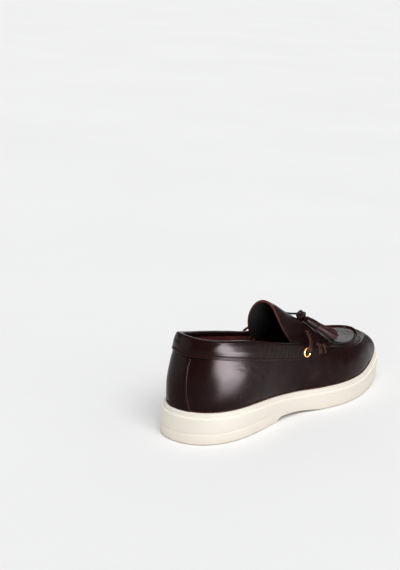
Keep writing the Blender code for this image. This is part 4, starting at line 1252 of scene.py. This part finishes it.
def fringe_strip(angle, layer, index):
    """One cut strip, from the head to its free end."""
    t = np.linspace(0.0, 1.0, 16)
    wobble = math.sin(index * 2.4 + layer * 1.3)
    turn = angle + 0.10 * wobble * t ** 2
    flare = ease(t, 0.0, 1.0)
    wide, tall = (mix(TASSEL_RADIUS * FRINGE_ROOT, full, flare) * (1 - LAYER_SHRINK * layer)
                  for full in (FRINGE_WIDTH, FRINGE_HEIGHT))
    length = FRINGE_LENGTH * (1 - 0.05 * (index * 3 % 4) / 3) * (1 - 0.02 * layer)
    x = TASSEL_HEAD - 0.002 + (length + 0.002) * t
    lift = TASSEL_RADIUS + 2 * GAP + (FRINGE_HEIGHT - TASSEL_RADIUS) * t
    middle = np.stack([x, wide * np.cos(turn), lift + tall * np.sin(turn)], -1)
    turn = turn + 0.30 * wobble * t
    out = np.stack([0 * t, np.cos(turn), np.sin(turn)], -1)
    half_thick = FRINGE_THICKNESS * 0.36
    return strap(middle - half_thick * out, out, FRINGE_HALF * mix(0.85, 1.0, flare), half_thick)


def build_tassel(name):
    """A wrapped head, and three layers of strips below it."""
    bundle = Bundle()
    stops = np.concatenate([np.linspace(0.0, HEAD_LOWER, 5)[:-1],
                            np.linspace(HEAD_LOWER, 1.0, 60)])
    turn = np.arange(HEAD_SIDES) * 2 * PI / HEAD_SIDES
    wraps = np.abs(np.sin(PI * stops * HEAD_WRAPS)) ** 0.5
    radius = TASSEL_RADIUS * column(HEAD, "radius", stops) * (0.93 + 0.07 * wraps)
    radius = (radius * (1 - WAIST_DEPTH * bell(stops, *WAIST)))[:, None]
    rings = np.stack([(stops * TASSEL_HEAD)[:, None] + 0 * turn, radius * np.cos(turn),
                      TASSEL_RADIUS + 2 * GAP + radius * np.sin(turn)], -1)
    bundle.add(rings.reshape(-1, 3), rod_faces(len(stops), HEAD_SIDES))
    for layer in range(3):
        count = FRINGE_COUNT - LAYER_FEWER * layer
        for i in range(count):
            angle = (i + 0.5 * (layer % 2)) * 2 * PI / count
            bundle.add(*fringe_strip(angle, layer, i))
    return bundle.piece(name + "_leather", ["tassel", "edge"], "tassel_leather", [name],
                        sharp=40, place=lambda points: laid(points, name))


def build_whip_stitches():
    """Lacing loops over the joint of the upper and the tongue, on both sides."""
    bundle = Bundle()
    for side in SIDES.values():
        for along in WHIP_ALONG:
            theta = side_theta(along, side)
            proud = BAND_SURFACE * (1 - float(ease(along, BAND_END - 0.004, BAND_END)))
            route, out = [], []
            for drop, lift in WHIP_UP:
                u = wall_share(theta, WHIP_DROP * drop)
                route.append(wall_offset(theta, u, proud + lift))
                out.append(wall_frame(theta, u)[0])
            top = top_ring(theta)
            for aside, lift in WHIP_OVER:
                plan = top[:2] + np.array([0.0, -side * WHIP_REACH * aside])
                high = mix(top[2] + proud * 0.6, on_instep(plan)[0][2], aside ** 0.5)
                route.append(np.array([*plan, high + lift]))
                out.append(np.array([0.0, side * (1 - aside), 0.4 + aside]))
            fine = smooth_route(route, WHIP_STEP)
            out = read_along(np.linspace(0.0, 1.0, len(fine)),
                             np.linspace(0.0, 1.0, len(out)), np.array(out))
            bundle.add(*strap(fine, out, WHIP_HALF_WIDTH, WHIP_HALF_THICK))
    return bundle.piece("whip_stitches", ["lace", "edge"], "lace_leather", sharp=50)


def build_foot_stitches():
    """A dotted row of thread where the upper goes into the sole."""
    theta = np.linspace(0.0, 2 * PI, 1500)
    u = 0.9 * FOOT_THREAD / (COLLAR_HEIGHT - HEEL_RIM) + 0 * theta
    bundle = Bundle()
    stitches(bundle, wall_offset(theta, u, -0.6 * FOOT_ROLL), wall_frame(theta, u)[0],
             FOOT_STITCH_LENGTH, FOOT_STITCH_PITCH, FOOT_THREAD)
    return bundle.piece("foot_stitches", ["edge"], "upper_leather")


def feed(node, **inputs):
    """Set a node's inputs, or link them where they get another node's output."""
    for name, value in inputs.items():
        socket = node.inputs[name.replace("_", " ")]
        if isinstance(value, bpy.types.NodeSocket):
            node.id_data.links.new(value, socket)
        else:
            socket.default_value = value
    return node


def noise(tree, place, scale, detail=4.0, roughness=0.55):
    node = feed(tree.nodes.new("ShaderNodeTexNoise"), Vector=place, Scale=scale,
                Detail=detail, Roughness=roughness)
    return node.outputs["Fac"]


def cells(tree, place, scale):
    node = feed(tree.nodes.new("ShaderNodeTexVoronoi"), Vector=place, Scale=scale)
    node.feature = "DISTANCE_TO_EDGE"
    return node.outputs["Distance"]


def ramp(tree, fac, stops):
    node = feed(tree.nodes.new("ShaderNodeValToRGB"), Fac=fac)
    elements = node.color_ramp.elements
    for index, (at, colour) in enumerate(stops):
        element = elements[index] if index < 2 else elements.new(at)
        element.position = at
        element.color = (*colour, 1.0)
    return node.outputs["Color"]


def span(tree, fac, low, high, start, end):
    node = feed(tree.nodes.new("ShaderNodeMapRange"), Value=fac, From_Min=low, From_Max=high,
                To_Min=start, To_Max=end)
    return node.outputs["Result"]


def bump(tree, height, distance, **under):
    node = feed(tree.nodes.new("ShaderNodeBump"), Height=height, Distance=distance,
                Strength=1.0, **under)
    return node.outputs["Normal"]


def new_look(name, **sockets):
    look = bpy.data.materials.new(name)
    look.use_nodes = True
    tree = look.node_tree
    shader = feed(tree.nodes["Principled BSDF"], **sockets)
    place = tree.nodes.new("ShaderNodeTexCoord").outputs["Object"]
    return look, tree, shader, place


def leather_look(name, dark, middle, light, grain=1250.0, rough=(0.23, 0.29)):
    look, tree, shader, place = new_look(name, Coat_Weight=0.02, Coat_Roughness=0.2,
                                         Specular_IOR_Level=0.06)
    tone = noise(tree, place, 22.0, 5.0)
    normal = bump(tree, noise(tree, place, 260.0, 3.0), 0.000016)
    normal = bump(tree, noise(tree, place, 900.0, 3.0), 0.000018, Normal=normal)
    normal = bump(tree, cells(tree, place, grain), 0.00005, Normal=normal)
    feed(shader, Base_Color=ramp(tree, tone, ((0.30, dark), (0.72, light), (0.50, middle))),
         Roughness=span(tree, noise(tree, place, 90.0), 0.3, 0.7, *rough),
         Normal=normal, Coat_Normal=normal)
    return look


def plain_look(name, dark, light, scale, rough, grain, depth, **sockets):
    look, tree, shader, place = new_look(name, **sockets)
    tone = noise(tree, place, scale, 6.0)
    feed(shader, Base_Color=ramp(tree, tone, ((0.32, dark), (0.68, light))),
         Roughness=span(tree, noise(tree, place, scale * 4), 0.3, 0.7, *rough),
         Normal=bump(tree, noise(tree, place, grain, 5.0, 0.7), depth))
    return look


def rubber_look():
    look, tree, shader, place = new_look("sole_rubber", Specular_IOR_Level=0.12)
    split = feed(tree.nodes.new("ShaderNodeSeparateXYZ"), Vector=place)
    # Base colour: random mottle, plus painted shade that darkens the lowest 10 mm of the sole
    # towards the floor
    mottle_and_painted_shade = tree.nodes.new("ShaderNodeMath")
    mottle_and_painted_shade.operation = "MULTIPLY_ADD"
    tree.links.new(noise(tree, place, 60.0, 6.0), mottle_and_painted_shade.inputs[0])
    mottle_and_painted_shade.inputs[1].default_value = 0.35
    tree.links.new(span(tree, split.outputs["Z"], 0.0, 0.010, 0.0, 1.0), mottle_and_painted_shade.inputs[2])
    # The dark brown-beige stop is the painted shade at the sole's foot; above 10 mm the colour is
    # the plain cream
    feed(shader, Base_Color=ramp(tree, mottle_and_painted_shade.outputs["Value"],
                                 ((0.05, (0.56, 0.47, 0.37)), (1.0, (0.865, 0.81, 0.715)),
                                  (0.35, (0.835, 0.77, 0.665)))),
         Roughness=span(tree, noise(tree, place, 300.0), 0.3, 0.7, 0.55, 0.72),
         Normal=bump(tree, noise(tree, place, 1400.0, 4.0, 0.7), 0.00005))
    return look


def make_camera():
    yaw, pitch, roll = (math.radians(a) for a in CAMERA_TURN)
    forward = np.array([math.cos(pitch) * math.cos(yaw), math.cos(pitch) * math.sin(yaw),
                        math.sin(pitch)])
    right = np.array([math.sin(yaw), -math.cos(yaw), 0.0])
    up = np.cross(right, forward)
    matrix = np.eye(4)
    matrix[:3, 0] = math.cos(roll) * right + math.sin(roll) * up
    matrix[:3, 1] = math.cos(roll) * up - math.sin(roll) * right
    matrix[:3, 2] = -forward
    matrix[:3, 3] = np.array(CAMERA_PLACE) + SHIFT
    data = bpy.data.cameras.new("camera")
    data.sensor_fit = "VERTICAL"
    data.sensor_height = CAMERA_SENSOR
    data.lens = CAMERA_FOCAL / PHOTO_HEIGHT * CAMERA_SENSOR
    data.clip_start = 0.05
    data.clip_end = 20.0
    camera = put("camera", data)
    camera.matrix_world = Matrix(matrix.tolist())
    bpy.context.scene.camera = camera


def aim_at(light, way, roll=0.0):
    """Turn a light to shine along a way."""
    turn = Quaternion((0.0, 0.0, 1.0), math.radians(roll))
    light.rotation_euler = (Vector(way).to_track_quat("-Z", "Y") @ turn).to_euler()


def make_lights():
    for name, place, aim, size, power, colour, roll in LIGHTS.rows:
        data = bpy.data.lights.new(name, "AREA")
        data.shape = "RECTANGLE"
        data.size, data.size_y = size
        data.energy = power
        data.color = colour
        box = put(name, data)
        box.visible_diffuse = False
        box.visible_camera = False
        box.location = place
        aim_at(box, Vector(aim) - Vector(place), roll)
    for name, come_from, strength, spread in SUNS.rows:
        data = bpy.data.lights.new(name, "SUN")
        data.energy = strength
        data.angle = math.radians(spread)
        sun = put(name, data)
        sun.visible_glossy = False
        aim_at(sun, -Vector(come_from))


def make_stage():
    mesh = bpy.data.meshes.new("floor")
    corners = [(x * FLOOR_HALF, y * FLOOR_HALF, -FLOOR_DROP)
               for x, y in ((-1, -1), (1, -1), (1, 1), (-1, 1))]
    mesh.from_pydata(corners, [], [(0, 1, 2, 3)])
    mesh.materials.append(LOOKS["floor"])
    put("floor", mesh)
    world = bpy.data.worlds.new("studio")
    bpy.context.scene.world = world
    world.use_nodes = True
    feed(world.node_tree.nodes["Background"], Color=(*WORLD_COLOUR, 1.0),
         Strength=WORLD_STRENGTH)
    make_lights()
    bpy.context.scene.view_settings.view_transform = "Standard"


EDGE = sole_plan(np.linspace(0, 2 * PI, 720))[:, 1]
SHIFT = np.array([0.0, -0.5 * float(EDGE.max() + EDGE.min()), 0.0])

LOOKS = {
    "leather": leather_look("leather", (0.0090, 0.0029, 0.0030), (0.0132, 0.0037, 0.0037),
                            (0.0190, 0.0050, 0.0046)),
    "lace": leather_look("lace_leather", (0.018, 0.007, 0.006), (0.029, 0.010, 0.008),
                         (0.046, 0.015, 0.011), grain=2200.0, rough=(0.45, 0.60)),
    "tassel": leather_look("tassel_leather", (0.010, 0.0036, 0.0034), (0.015, 0.0048, 0.0044),
                           (0.024, 0.0075, 0.0060), grain=1800.0, rough=(0.48, 0.62)),
    "edge": plain_look("cut_edge", (0.085, 0.024, 0.015), (0.150, 0.046, 0.028), 400.0,
                       (0.55, 0.75), 2500.0, 0.00010, Specular_IOR_Level=0.10),
    "lining": plain_look("lining", (0.090, 0.019, 0.018), (0.135, 0.030, 0.027), 60.0,
                         (0.50, 0.68), 1800.0, 0.00008, Specular_IOR_Level=0.20),
    "tongue_back": plain_look("tongue_back", (0.008, 0.0045, 0.0050), (0.014, 0.0070, 0.0070),
                              60.0, (0.60, 0.75), 1800.0, 0.00008, Specular_IOR_Level=0.10),
    "thread": plain_look("thread", (0.030, 0.010, 0.008), (0.060, 0.020, 0.014), 900.0,
                         (0.65, 0.80), 6000.0, 0.00004, Specular_IOR_Level=0.04),
    "brass": plain_look("eyelet_brass", (0.42, 0.25, 0.09), (0.58, 0.37, 0.15), 500.0,
                        (0.34, 0.48), 1500.0, 0.00002, Metallic=1.0),
    "rubber": rubber_look(),
    "floor": plain_look("studio_floor", (0.86, 0.86, 0.86), (0.88, 0.88, 0.88), 3.0,
                        (0.95, 1.0), 400.0, 0.00002, Specular_IOR_Level=0.0),
}

make_camera()
make_stage()
build_sole()
build_insole()
build_upper()
build_plug()
build_band()
build_band_stitches()
build_heel_strip()
for label, side in SIDES.items():
    build_eyelet(label, side)
    build_lace(label, side)
build_tie(build_knot())
for name in ("tassel_outer", "tassel_inner"):
    build_tassel(name)
build_whip_stitches()
build_foot_stitches()
